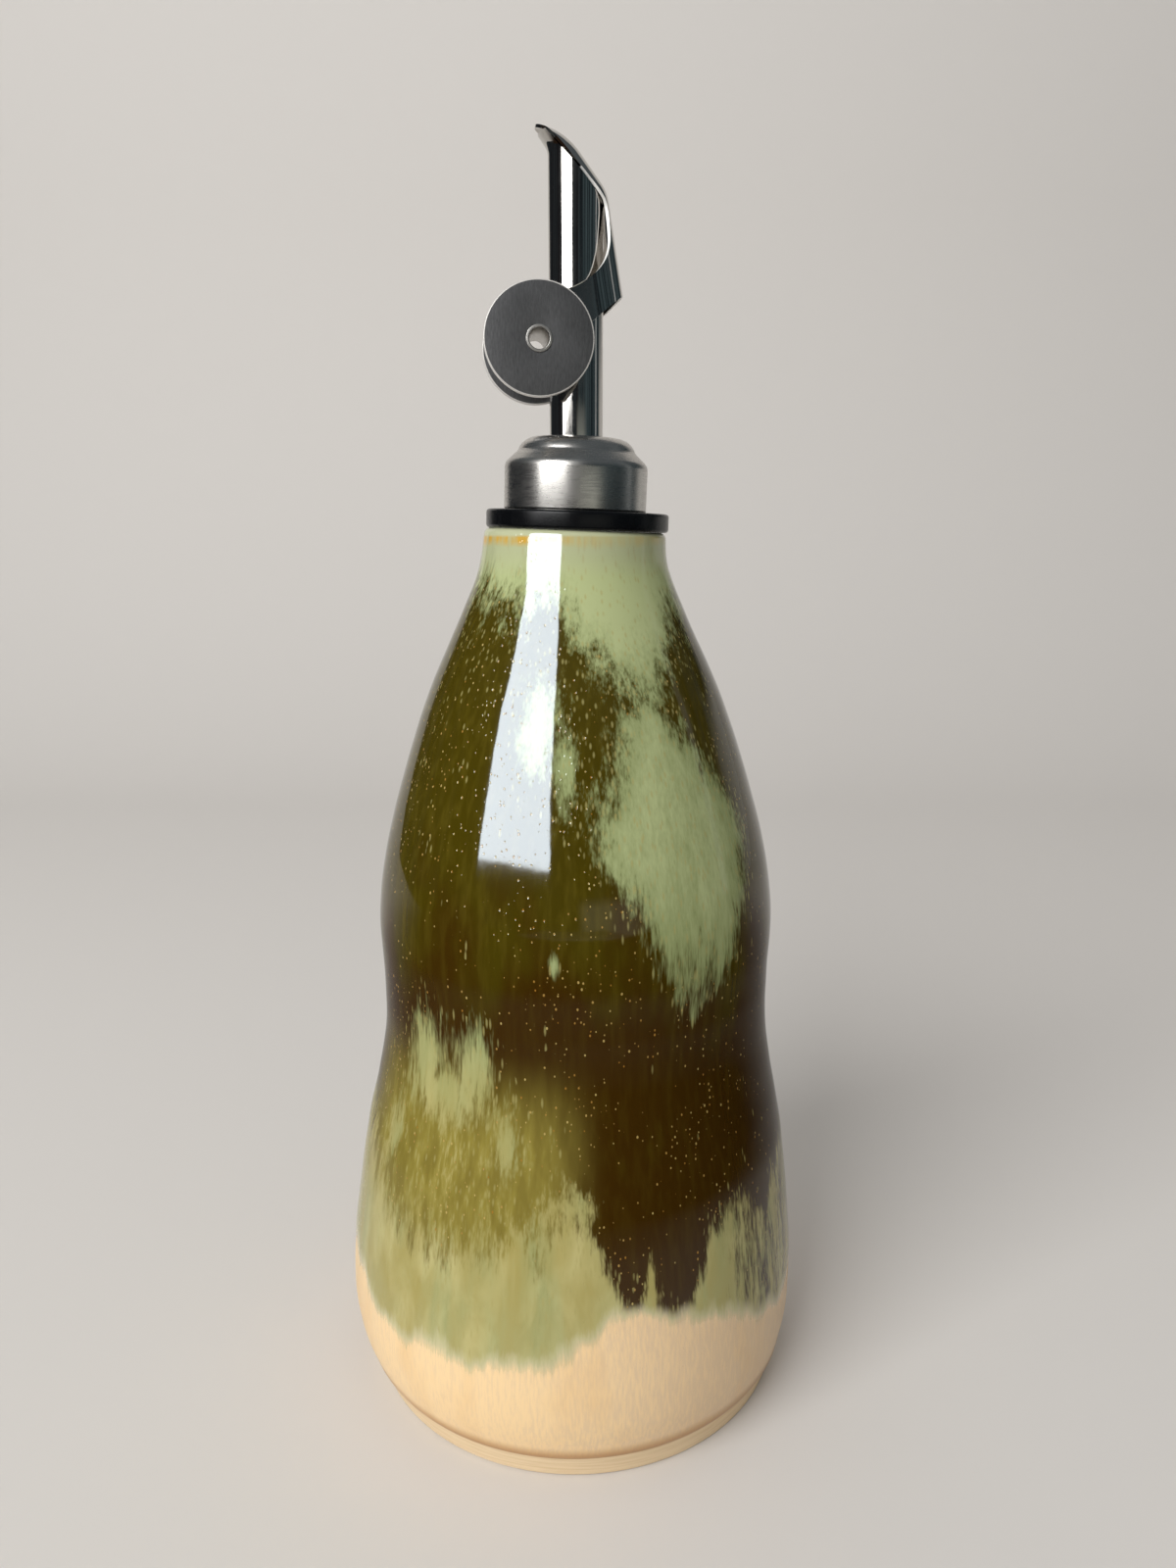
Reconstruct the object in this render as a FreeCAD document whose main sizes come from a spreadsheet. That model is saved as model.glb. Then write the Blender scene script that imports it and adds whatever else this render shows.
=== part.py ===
import FreeCAD, Part
import math
import os
import Sketcher

# A stoneware oil jar with a weighted flap pourer, in millimetres, +Z up.
# The row origin is the centre of the jar's foot on the table. +X is to the right and +Y goes away
# from the viewer. The pourer has a frame of its own: its origin lies on the spout's axis, level with
# the underside of the collar, and it is turned about Z, so that the lip points left and a little
# forward. Its across axis runs along the flap's swing and its side axis along the hinge.

# The jar's outer shape, ring by ring: height above the table, radius, and how far the wheel-thrown
# wall has drifted sideways from the foot's centre.
JAR_RINGS = [
    ("skirt", 5.2, 41.35, -0.3),
    ("belly_low", 11.0, 43.0, -0.7),
    ("belly", 18.0, 43.55, -0.9),
    ("belly_high", 28.0, 42.95, -0.8),
    ("flank_low", 40.0, 41.5, -0.55),
    ("flank", 50.0, 40.0, -0.33),
    ("flank_high", 60.0, 37.85, -0.12),
    ("waist_low", 70.0, 36.3, 0.0),
    ("waist", 80.0, 36.2, 0.0),
    ("shoulder", 92.0, 36.6, 0.0),
    ("shoulder_high", 104.0, 34.9, 0.0),
    ("slope_low", 118.0, 31.1, -0.05),
    ("slope", 132.0, 26.25, -0.15),
    ("slope_high", 146.0, 19.95, -0.25),
    ("neck", 154.0, 16.75, -0.2),
    ("top", 162.0, 15.85, 0.1),
]

# Driving sizes, in millimetres and degrees.
SIZES = {
    # Foot of the jar: a trimmed, bare ring under the glazed wall.
    "foot_radius": 39.2,
    "foot_top_radius": 40.65,
    "foot_round": 0.8,
    "skirt_round": 0.5,
    # Rim of the jar: cut a little out of level, and rounded on the outside.
    "rim_height": 160.15,
    "rim_tilt": 1.9,
    "rim_round": 1.1,
    "rim_cut_half": 30.0,
    # Collar of the rubber stopper, lying on the rim.
    "collar_shift": 0.4,
    "collar_radius": 16.0,
    "collar_thick": 3.2,
    "collar_round": 0.6,
    # Drawn steel cap on the collar: a straight wall, a cone, a crease and a domed top.
    "cap_shift": -0.1,
    "cap_radius": 12.45,
    "cap_wall_top": 10.3,
    "cap_hem": 0.45,
    "cap_cone_radius": 11.95,
    "cap_cone_base": 11.55,
    "cap_crease_radius": 10.4,
    "cap_crease_height": 13.0,
    "cap_dome_radius": 10.15,
    "cap_dome_base": 13.3,
    "cap_crown_radius": 6.6,
    "cap_crown_height": 15.5,
    "cap_dome_bend": 3.4,
    "cap_wall_bend": 1.7,
    # Pourer frame.
    "pourer_turn": 6.0,
    "pourer_shift": 0.25,
    # Spout: a polished tube with an oblique mouth and a flared lip.
    "tube_radius": 4.6,
    "tube_wall": 0.5,
    "tube_base": 8.0,
    "flare_base": 59.95,
    "flare_bend": 3.0,
    "flare_lean": 36.0,
    "lip_radius": 6.18,
    "mouth_height": 57.4,
    "mouth_slope": 47.7,
    # Pivot: two rivets in the tube's wall, which carry the flap's ears.
    "pivot_height": 35.7,
    "pivot_radius": 1.0,
    "pivot_gap": 0.05,
    "pivot_inner": 4.0,
    "pivot_outer": 5.3,
    # Flap: one sheet, bent to a channel round the tube and closed over the mouth.
    "sheet": 0.5,
    "flap_radius": 5.4,
    "heel_across": 7.95,
    "heel_height": 38.45,
    "heel_below": 6.0,
    "back_lean": 9.6,
    "back_length": 14.76,
    "bend_radius": 6.5,
    "lid_lean": 38.0,
    "lid_length": 5.76,
    "crown_radius": 10.58,
    "tip_lean": 80.0,
    "tip_length": 1.4,
    "lid_gap": 0.17,
    "nose_radius": 4.6,
    "nose_reach": 6.6,
    "nose_underside": 63.55,
    # Side outline of the flap, below its lid.
    "lid_back_across": 4.1,
    "edge_across": 5.05,
    "edge_height": 45.0,
    "corner_radius": 2.4,
    "corner_turn": 44.0,
    "arm_across": -1.9,
    "arm_height": 38.6,
    "arm_radius": 21.6,
    "heel_slope": 41.0,
    "boss_radius": 3.4,
    # Weights, and the hollow rivet that joins them through the flap's arms.
    "weight_across": -6.7,
    "weight_height": 30.7,
    "weight_radius": 9.15,
    "weight_thick": 1.5,
    "weight_edge": 0.22,
    "sleeve_radius": 2.0,
    "sleeve_bore": 1.65,
    "sleeve_flange": 2.2,
    "sleeve_proud": 0.2,
}

doc = FreeCAD.newDocument("oil_jar")
sheet = doc.addObject("Spreadsheet::Sheet", "sizes")
nodes = []


def fill_sheet():
    """Write every driving size to a cell of its own, with its name as the alias."""
    rows = dict(SIZES)
    for name, height, radius, drift in JAR_RINGS:
        rows[name + "_height"] = height
        rows[name + "_radius"] = radius
        rows[name + "_drift"] = drift
    for row, (alias, number) in enumerate(rows.items(), start=1):
        sheet.set(f"A{row}", alias)
        sheet.set(f"B{row}", str(number))
        sheet.setAlias(f"B{row}", alias)
    doc.recompute()


def value(formula):
    """The number that a formula of the sheet's sizes gives."""
    return float(sheet.evalExpression(formula))


def new_body(label):
    body = doc.addObject("PartDesign::Body", label)
    body.Label = label
    nodes.append(body)
    return body


def new_sketch(body, name, role):
    sketch = body.newObject("Sketcher::SketchObject", name)
    plane = next(item for item in body.Origin.OriginFeatures if item.Role == role)
    sketch.AttachmentSupport = [(plane, "")]
    sketch.MapMode = "FlatFace"
    return sketch


def bind(sketch, kind, where, formula):
    """Add one dimension to a sketch and tie it to a formula."""
    index = sketch.addConstraint(Sketcher.Constraint(kind, *where, value(formula)))
    sketch.setExpression(f"Constraints[{index}]", formula)


def bind_point(sketch, item, point, place):
    bind(sketch, "DistanceX", (-1, 1, item, point), place[0])
    bind(sketch, "DistanceY", (-1, 1, item, point), place[1])


def draw(sketch, corners, bends=None, closed=True):
    """Draw lines and arcs from corner to corner; bends maps a side's number to its signed radius.

    A positive radius turns left along the way, a negative one turns right.
    """
    bends = bends or {}
    spots = [FreeCAD.Vector(value(across), value(up), 0) for across, up in corners]
    sides = len(spots) if closed else len(spots) - 1
    first = sketch.GeometryCount
    left_turn = {}
    for side in range(sides):
        start = spots[side]
        end = spots[(side + 1) % len(spots)]
        if side not in bends:
            sketch.addGeometry(Part.LineSegment(start, end))
            left_turn[side] = True
            continue
        radius = value(bends[side])
        half = (end - start) * 0.5
        rise = math.sqrt(radius ** 2 - half.Length ** 2)
        inward = FreeCAD.Vector(-half.y, half.x, 0).normalize() * math.copysign(rise, radius)
        centre = start + half + inward
        left_turn[side] = radius > 0
        begin, finish = (start, end) if radius > 0 else (end, start)
        circle = Part.Circle(centre, FreeCAD.Vector(0, 0, 1), abs(radius))
        sketch.addGeometry(Part.ArcOfCircle(circle, circle.parameter(begin), circle.parameter(finish)))
    for side in range(sides):
        item = first + side
        start_point = 1 if left_turn[side] else 2
        bind_point(sketch, item, start_point, corners[side])
        if side in bends:
            bind(sketch, "Radius", (item,), f"abs({bends[side]})")
        if closed or side < sides - 1:
            following = (side + 1) % sides
            join = (item, 3 - start_point, first + following, 1 if left_turn[following] else 2)
            sketch.addConstraint(Sketcher.Constraint("Coincident", *join))
        else:
            bind_point(sketch, item, 3 - start_point, corners[side + 1])


def draw_circle(sketch, across, up, radius):
    circle = Part.Circle(FreeCAD.Vector(value(across), value(up), 0), FreeCAD.Vector(0, 0, 1), value(radius))
    item = sketch.addGeometry(circle)
    bind(sketch, "Radius", (item,), radius)
    bind_point(sketch, item, 3, (across, up))


def revolve(body, sketch, kind="Revolution"):
    """Turn a sketch of the XZ plane a full turn about the body's Z axis."""
    turn = body.newObject("PartDesign::" + kind, sketch.Name + "_turn")
    turn.Profile = sketch
    turn.ReferenceAxis = (sketch, ["V_Axis"])
    turn.Angle = 360
    doc.recompute()
    return turn


def through(body, sketch, kind, length):
    """A pad or pocket of the given length, half of it on each side of its sketch."""
    feature = body.newObject("PartDesign::" + kind, sketch.Name + "_" + kind.lower())
    feature.Profile = sketch
    feature.SideType = "Symmetric"
    feature.setExpression("Length", length)
    doc.recompute()
    return feature


def soften(body, kind, edges, size):
    """Fillet or chamfer the named edges of the body's last feature."""
    base = body.Tip
    feature = body.newObject("PartDesign::" + kind, f"{body.Name}_{kind.lower()}_{len(body.Group)}")
    feature.Base = (base, edges)
    feature.setExpression("Radius" if kind == "Fillet" else "Size", size)
    doc.recompute()
    return feature


def round_edges(shape, radius, height, tolerance=0.05):
    """Names of the shape's edges that ring the Z axis at a radius and a height."""
    found = []
    for index, edge in enumerate(shape.Edges, start=1):
        box = edge.BoundBox
        level = abs(box.Center.z - height) < tolerance and box.ZLength < tolerance
        if level and abs(box.XLength / 2 - radius) < tolerance:
            found.append(f"Edge{index}")
    return found


def seat(body, across):
    """Lay a body on the jar's tilted rim, shifted to the right."""
    body.Placement = FreeCAD.Placement(FreeCAD.Vector(), FreeCAD.Rotation(FreeCAD.Vector(0, 1, 0), 1))
    body.setExpression("Placement.Base.x", across)
    body.setExpression("Placement.Base.z", f"sizes.rim_height - {across} * tan(sizes.rim_tilt)")
    body.setExpression("Placement.Rotation.Angle", "sizes.rim_tilt * 1 deg")


def pourer_place(body):
    """Stand a body on the spout's axis, turned with the pourer."""
    body.Placement = FreeCAD.Placement(FreeCAD.Vector(), FreeCAD.Rotation(FreeCAD.Vector(0, 0, 1), 1))
    body.setExpression("Placement.Base.x", "sizes.pourer_shift")
    body.setExpression("Placement.Base.z", "sizes.rim_height")
    body.setExpression("Placement.Rotation.Angle", "sizes.pourer_turn * 1 deg")


def make_jar():
    """The jar: a loft through its rings on a tapered foot, cut off slightly out of level."""
    body = new_body("jar")
    sections = []
    for name, height, radius, drift in JAR_RINGS:
        ring = new_sketch(body, "ring_" + name, "XY_Plane")
        ring.setExpression("AttachmentOffset.Base.x", f"sizes.{name}_drift")
        ring.setExpression("AttachmentOffset.Base.z", f"sizes.{name}_height")
        draw_circle(ring, "0", "0", f"sizes.{name}_radius")
        sections.append(ring)
    doc.recompute()
    wall = body.newObject("PartDesign::AdditiveLoft", "wall")
    wall.Profile = sections[0]
    wall.Sections = sections[1:]
    doc.recompute()
    skirt = round_edges(wall.Shape, value("sizes.skirt_radius"), value("sizes.skirt_height"))
    soften(body, "Fillet", skirt, "sizes.skirt_round")

    foot = new_sketch(body, "foot", "XZ_Plane")
    draw(foot, [
        ("0", "0"),
        ("sizes.foot_radius", "0"),
        ("sizes.foot_top_radius", "sizes.skirt_height"),
        ("0", "sizes.skirt_height"),
    ])
    revolve(body, foot)
    sole = round_edges(body.Tip.Shape, value("sizes.foot_radius"), 0)
    soften(body, "Fillet", sole, "sizes.foot_round")

    level = new_sketch(body, "rim_cut", "XZ_Plane")
    half = "sizes.rim_cut_half"
    drop = f"{half} * tan(sizes.rim_tilt)"
    draw(level, [
        (f"-{half}", f"sizes.rim_height + {drop}"),
        (half, f"sizes.rim_height - {drop}"),
        (half, "sizes.rim_height + sizes.rim_cut_half"),
        (f"-{half}", "sizes.rim_height + sizes.rim_cut_half"),
    ])
    through(body, level, "Pocket", "4 * sizes.rim_cut_half")
    top = max(range(len(body.Tip.Shape.Faces)), key=lambda item: body.Tip.Shape.Faces[item].CenterOfMass.z)
    rim = [f"Edge{index}" for index, edge in enumerate(body.Tip.Shape.Edges, start=1)
           if any(edge.isSame(other) for other in body.Tip.Shape.Faces[top].Edges)]
    soften(body, "Fillet", rim, "sizes.rim_round")


def make_collar():
    """The stopper's collar: a thick rubber disc with rounded edges, lying on the rim."""
    body = new_body("collar")
    section = new_sketch(body, "collar_section", "XZ_Plane")
    draw(section, [
        ("0", "0"),
        ("sizes.collar_radius", "0"),
        ("sizes.collar_radius", "sizes.collar_thick"),
        ("0", "sizes.collar_thick"),
    ])
    revolve(body, section)
    radius = value("sizes.collar_radius")
    edges = round_edges(body.Tip.Shape, radius, 0)
    edges += round_edges(body.Tip.Shape, radius, value("sizes.collar_thick"))
    soften(body, "Fillet", edges, "sizes.collar_round")
    seat(body, "sizes.collar_shift")


def make_cap():
    """The steel cap: a turned form with a hem, a creased shoulder and a socket for the spout."""
    body = new_body("cap")
    section = new_sketch(body, "cap_section", "XZ_Plane")
    draw(section, [
        ("0", "sizes.collar_thick"),
        ("sizes.cap_radius - sizes.cap_hem", "sizes.collar_thick"),
        ("sizes.cap_radius", "sizes.collar_thick + sizes.cap_hem"),
        ("sizes.cap_radius", "sizes.cap_wall_top"),
        ("sizes.cap_cone_radius", "sizes.cap_cone_base"),
        ("sizes.cap_crease_radius", "sizes.cap_crease_height"),
        ("sizes.cap_dome_radius", "sizes.cap_dome_base"),
        ("sizes.cap_crown_radius", "sizes.cap_crown_height"),
        ("0", "sizes.cap_crown_height"),
    ], bends={
        1: "sizes.cap_hem",
        3: "sizes.cap_wall_bend",
        6: "sizes.cap_dome_bend",
    })
    revolve(body, section)

    socket = new_sketch(body, "spout_socket", "XY_Plane")
    upright = FreeCAD.Rotation(FreeCAD.Vector(0, 1, 0), -value("sizes.rim_tilt"))
    socket.AttachmentOffset = FreeCAD.Placement(FreeCAD.Vector(), upright)
    aside = "(sizes.pourer_shift - sizes.cap_shift)"
    depth = "(sizes.tube_base + sizes.cap_shift * tan(sizes.rim_tilt))"
    tilt = "sizes.rim_tilt"
    socket.setExpression("AttachmentOffset.Base.x", f"{aside} * cos({tilt}) - {depth} * sin({tilt})")
    socket.setExpression("AttachmentOffset.Base.z", f"{aside} * sin({tilt}) + {depth} * cos({tilt})")
    draw_circle(socket, "0", "0", "sizes.tube_radius")
    before = body.Tip.Shape.Volume
    pocket = body.newObject("PartDesign::Pocket", "spout_socket_pocket")
    pocket.Profile = socket
    pocket.Reversed = True
    pocket.setExpression("Length", "2 * sizes.tube_base")
    doc.recompute()
    if body.Tip.Shape.Volume > before - 100:
        raise RuntimeError("the spout's socket was not cut")
    seat(body, "sizes.cap_shift")


def make_spout():
    """The spout: a tube turned with a flared end, then cut off obliquely, so that a lip is left."""
    body = new_body("spout")
    wall = new_sketch(body, "spout_wall", "XZ_Plane")
    inner = "sizes.tube_radius - sizes.tube_wall"
    bend_end = "sizes.flare_bend * (1 - cos(sizes.flare_lean))"
    rise = "sizes.flare_bend * sin(sizes.flare_lean)"
    lip_height = (f"sizes.flare_base + {rise} + (sizes.lip_radius - sizes.tube_radius - {bend_end})"
                  " / tan(sizes.flare_lean)")
    draw(wall, [
        ("sizes.tube_radius", "sizes.tube_base"),
        ("sizes.tube_radius", "sizes.flare_base"),
        (f"sizes.tube_radius + {bend_end}", f"sizes.flare_base + {rise}"),
        ("sizes.lip_radius", lip_height),
        ("sizes.lip_radius - sizes.tube_wall * cos(sizes.flare_lean)",
         f"{lip_height} + sizes.tube_wall * sin(sizes.flare_lean)"),
        (f"sizes.tube_radius + {bend_end} - sizes.tube_wall * cos(sizes.flare_lean)",
         f"sizes.flare_base + {rise} + sizes.tube_wall * sin(sizes.flare_lean)"),
        (inner, "sizes.flare_base"),
        (inner, "sizes.tube_base"),
    ], bends={
        1: "-sizes.flare_bend",
        5: "sizes.flare_bend + sizes.tube_wall",
    })
    revolve(body, wall)

    mouth = new_sketch(body, "mouth_cut", "XZ_Plane")
    reach = "2 * sizes.lip_radius"
    fall = f"{reach} * tan(sizes.mouth_slope)"
    draw(mouth, [
        (f"-{reach}", f"sizes.mouth_height + {fall}"),
        (reach, f"sizes.mouth_height - {fall}"),
        (reach, f"sizes.mouth_height + {fall}"),
    ])
    through(body, mouth, "Pocket", "4 * sizes.lip_radius")

    pivot = new_sketch(body, "pivot_hole", "XZ_Plane")
    draw_circle(pivot, "0", "sizes.pivot_height", "sizes.pivot_radius")
    through(body, pivot, "Pocket", "4 * sizes.tube_radius")
    pourer_place(body)


def make_rivet(label, side):
    """One pivot rivet, from the tube's wall out into the flap's ear; side is -1 near or +1 far."""
    body = new_body(label)
    round_bar = new_sketch(body, label + "_bar", "XZ_Plane")
    draw_circle(round_bar, "0", "sizes.pivot_height", "sizes.pivot_radius")
    round_bar.setExpression("AttachmentOffset.Base.z", f"{-side} * sizes.pivot_inner")
    pad = body.newObject("PartDesign::Pad", label + "_pad")
    pad.Profile = round_bar
    pad.Reversed = side > 0
    pad.setExpression("Length", "sizes.pivot_outer - sizes.pivot_inner")
    doc.recompute()
    pourer_place(body)


def spine_corners():
    """Corners of the flap's outer back line, from under its heel up and over to its tip."""
    across = ["sizes.heel_across + sizes.heel_below * sin(sizes.back_lean)"]
    height = ["sizes.heel_height - sizes.heel_below * cos(sizes.back_lean)"]
    steps = [
        ("(sizes.heel_below + sizes.back_length) * sin(sizes.back_lean)",
         "(sizes.heel_below + sizes.back_length) * cos(sizes.back_lean)"),
        ("sizes.bend_radius * (cos(sizes.back_lean) - cos(sizes.lid_lean))",
         "sizes.bend_radius * (sin(sizes.lid_lean) - sin(sizes.back_lean))"),
        ("sizes.lid_length * sin(sizes.lid_lean)",
         "sizes.lid_length * cos(sizes.lid_lean)"),
        ("sizes.crown_radius * (cos(sizes.lid_lean) - cos(sizes.tip_lean))",
         "sizes.crown_radius * (sin(sizes.tip_lean) - sin(sizes.lid_lean))"),
        ("sizes.tip_length * sin(sizes.tip_lean)",
         "sizes.tip_length * cos(sizes.tip_lean)"),
    ]
    for inward, upward in steps:
        across.append(f"{across[-1]} - {inward}")
        height.append(f"{height[-1]} + {upward}")
    return list(zip(across, height))


def tangent_to_boss(across, height, lower):
    """Where a line from a point touches the boss round the weights' rivet, as a pair of formulas."""
    du = f"(({across}) - sizes.weight_across)"
    dw = f"(({height}) - sizes.weight_height)"
    far = f"sqrt({du}^2 + {dw}^2)"
    turn = f"acos(sizes.boss_radius / {far})"
    angle = f"(atan2({dw}; {du}) {'-' if lower else '+'} {turn})"
    return (f"sizes.weight_across + sizes.boss_radius * cos({angle})",
            f"sizes.weight_height + sizes.boss_radius * sin({angle})")


def make_flap():
    """The flap: a channel swept along its back line, with flat ears, trimmed to its side outline."""
    body = new_body("flap")
    spine = new_sketch(body, "spine", "XZ_Plane")
    corners = spine_corners()
    draw(spine, corners, bends={1: "sizes.bend_radius", 3: "sizes.crown_radius"}, closed=False)

    channel = new_sketch(body, "channel", "XY_Plane")
    square = FreeCAD.Rotation(FreeCAD.Vector(0, 1, 0), -value("sizes.back_lean"))
    channel.AttachmentOffset = FreeCAD.Placement(FreeCAD.Vector(), square)
    channel.setExpression("AttachmentOffset.Base.x", corners[0][0])
    channel.setExpression("AttachmentOffset.Base.z", corners[0][1])
    inner = "sizes.flap_radius - sizes.sheet"
    draw(channel, [
        ("-sizes.flap_radius", "-sizes.flap_radius"),
        ("0", "0"),
        ("-sizes.flap_radius", "sizes.flap_radius"),
        ("-sizes.flap_radius", inner),
        ("-sizes.sheet", "0"),
        ("-sizes.flap_radius", f"-({inner})"),
    ], bends={
        0: "sizes.flap_radius",
        1: "sizes.flap_radius",
        3: f"-({inner})",
        4: f"-({inner})",
    })
    doc.recompute()
    shell = body.newObject("PartDesign::AdditivePipe", "shell")
    shell.Profile = channel
    shell.Spine = (spine, [f"Edge{index}" for index in range(1, 6)])
    doc.recompute()

    ears = new_sketch(body, "ears", "XZ_Plane")
    back = "sizes.flap_radius"
    low = "3 * sizes.flap_radius"
    lean_sin = "sin(sizes.back_lean)"
    lean_cos = "cos(sizes.back_lean)"
    joint_across = f"sizes.heel_across - {back} * {lean_cos}"
    joint_height = f"sizes.heel_height - {back} * {lean_sin}"
    draw(ears, [
        (f"{joint_across} - sizes.back_length * {lean_sin}",
         f"{joint_height} + sizes.back_length * {lean_cos}"),
        (f"{joint_across} - {low} - sizes.back_length * {lean_sin}",
         f"{joint_height} + sizes.back_length * {lean_cos}"),
        (f"{joint_across} - {low}", f"{joint_height} - {low}"),
        (f"{joint_across} + {low} * {lean_sin}", f"{joint_height} - {low} * {lean_cos}"),
    ])
    through(body, ears, "Pad", "2 * sizes.flap_radius")
    gap = new_sketch(body, "ear_gap", "XZ_Plane")
    draw(gap, [
        (f"{joint_across} - sizes.back_length * {lean_sin}",
         f"{joint_height} + sizes.back_length * {lean_cos}"),
        (f"{joint_across} - {low} - sizes.flap_radius", f"{joint_height} + 2 * sizes.back_length"),
        (f"{joint_across} - {low} - sizes.flap_radius", f"{joint_height} - {low} - sizes.flap_radius"),
        (f"{joint_across} + 2 * {low} * {lean_sin}", f"{joint_height} - 2 * {low} * {lean_cos}"),
    ])
    through(body, gap, "Pocket", f"2 * ({inner})")

    trim = new_sketch(body, "side_trim", "XZ_Plane")
    lift = "sizes.mouth_height + sizes.lid_gap / cos(sizes.mouth_slope)"
    slope = "tan(sizes.mouth_slope)"
    corner_across = "sizes.edge_across - sizes.corner_radius * (1 - cos(sizes.corner_turn))"
    corner_height = "sizes.edge_height - sizes.corner_radius * sin(sizes.corner_turn)"
    margin = "2 * sizes.heel_across"
    heel_line = "tan(sizes.heel_slope)"
    draw(trim, [
        (f"({lift} - sizes.nose_underside) / {slope}", "sizes.nose_underside"),
        (f"-{margin}", "sizes.nose_underside"),
        (f"-{margin}", "sizes.nose_underside + sizes.crown_radius"),
        (margin, "sizes.nose_underside + sizes.crown_radius"),
        (margin, f"sizes.heel_height + ({margin} - sizes.heel_across) * {heel_line}"),
        tangent_to_boss("sizes.heel_across", "sizes.heel_height", lower=True),
        tangent_to_boss("sizes.arm_across", "sizes.arm_height", lower=False),
        ("sizes.arm_across", "sizes.arm_height"),
        (corner_across, corner_height),
        ("sizes.edge_across", "sizes.edge_height"),
        ("sizes.lid_back_across", f"{lift} - sizes.lid_back_across * {slope}"),
    ], bends={5: "-sizes.boss_radius", 7: "sizes.arm_radius", 8: "sizes.corner_radius"})
    far = "6 * sizes.heel_across"
    draw(trim, [
        (f"-{far}", "0"),
        (far, "0"),
        (far, "2 * sizes.mouth_height"),
        (f"-{far}", "2 * sizes.mouth_height"),
    ])
    through(body, trim, "Pocket", "4 * sizes.flap_radius")

    nose = new_sketch(body, "nose_trim", "XY_Plane")
    centre = "sizes.nose_radius - sizes.nose_reach"
    side = "sizes.nose_radius"
    draw(nose, [
        (centre, side),
        (centre, f"2 * {side}"),
        (f"-3 * {side}", f"2 * {side}"),
        (f"-3 * {side}", f"-2 * {side}"),
        (centre, f"-2 * {side}"),
        (centre, f"-{side}"),
        ("-sizes.nose_reach", "0"),
    ], bends={5: f"-{side}", 6: f"-{side}"})
    nose.setExpression("AttachmentOffset.Base.z", "sizes.mouth_height")
    pocket = body.newObject("PartDesign::Pocket", "nose_pocket")
    pocket.Profile = nose
    pocket.Reversed = True
    pocket.setExpression("Length", "sizes.mouth_height")
    doc.recompute()

    holes = new_sketch(body, "ear_holes", "XZ_Plane")
    draw_circle(holes, "0", "sizes.pivot_height", "sizes.pivot_radius + sizes.pivot_gap")
    draw_circle(holes, "sizes.weight_across", "sizes.weight_height", "sizes.sleeve_radius")
    through(body, holes, "Pocket", "4 * sizes.flap_radius")
    pourer_place(body)


def make_weight(label, side):
    """One round weight with broken edges on the outside of an arm; side is -1 near or +1 far."""
    body = new_body(label)
    disc = new_sketch(body, label + "_face", "XZ_Plane")
    disc.setExpression("AttachmentOffset.Base.z", f"{-side} * sizes.flap_radius")
    draw_circle(disc, "sizes.weight_across", "sizes.weight_height", "sizes.weight_radius")
    draw_circle(disc, "sizes.weight_across", "sizes.weight_height", "sizes.sleeve_radius")
    pad = body.newObject("PartDesign::Pad", label + "_pad")
    pad.Profile = disc
    pad.Reversed = side > 0
    pad.setExpression("Length", "sizes.weight_thick")
    doc.recompute()
    outer = [f"Edge{index}" for index, edge in enumerate(pad.Shape.Edges, start=1)
             if edge.BoundBox.XLength > value("sizes.weight_radius")]
    soften(body, "Chamfer", outer, "sizes.weight_edge")
    pourer_place(body)


def make_sleeve():
    """The hollow rivet through both weights, with its ends spread to small flanges."""
    body = new_body("sleeve")
    section = new_sketch(body, "sleeve_section", "XZ_Plane")
    half = "(sizes.flap_radius + sizes.weight_thick)"
    end = f"({half} + sizes.sleeve_proud)"
    draw(section, [
        ("sizes.sleeve_bore", f"-{end}"),
        ("sizes.sleeve_flange", f"-{end}"),
        ("sizes.sleeve_flange", f"-{half}"),
        ("sizes.sleeve_radius", f"-{half}"),
        ("sizes.sleeve_radius", half),
        ("sizes.sleeve_flange", half),
        ("sizes.sleeve_flange", end),
        ("sizes.sleeve_bore", end),
    ])
    revolve(body, section)
    edges = round_edges(body.Tip.Shape, value("sizes.sleeve_flange"), value(end))
    edges += round_edges(body.Tip.Shape, value("sizes.sleeve_flange"), -value(end))
    soften(body, "Fillet", edges, "0.8 * sizes.sleeve_proud")
    along_hinge = FreeCAD.Rotation(FreeCAD.Vector(1, 0, 0), 90)
    turned = FreeCAD.Rotation(FreeCAD.Vector(0, 0, 1), value("sizes.pourer_turn"))
    across = turned.multVec(FreeCAD.Vector(value("sizes.weight_across"), 0, 0))
    up = value("sizes.rim_height + sizes.weight_height")
    place = FreeCAD.Vector(value("sizes.pourer_shift"), 0, up) + across
    body.Placement = FreeCAD.Placement(place, turned.multiply(along_hinge))


def check_document():
    """Stop if any object failed to build or any sub-part isn't one valid solid."""
    doc.recompute()
    for item in doc.Objects:
        if "Invalid" in item.State or "Error" in item.State:
            raise RuntimeError(f"{item.Name} failed: {item.State}")
    for body in nodes:
        shape = body.Shape
        if shape.isNull() or not shape.isValid() or len(shape.Solids) != 1:
            raise RuntimeError(f"{body.Label} is not one valid solid")


def export_nodes():
    os.makedirs("parts", exist_ok=True)
    for body in nodes:
        body.Shape.exportStep(f"parts/{body.Label}.step")
        box = body.Shape.BoundBox
        print(f"{body.Label}: {body.Shape.Volume:.1f} mm3, x {box.XMin:.2f} {box.XMax:.2f}, "
              f"y {box.YMin:.2f} {box.YMax:.2f}, z {box.ZMin:.2f} {box.ZMax:.2f}")


fill_sheet()
make_jar()
make_collar()
make_cap()
make_spout()
make_rivet("rivet_near", -1)
make_rivet("rivet_far", 1)
make_flap()
make_weight("weight_near", -1)
make_weight("weight_far", 1)
make_sleeve()
check_document()
export_nodes()
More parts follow.
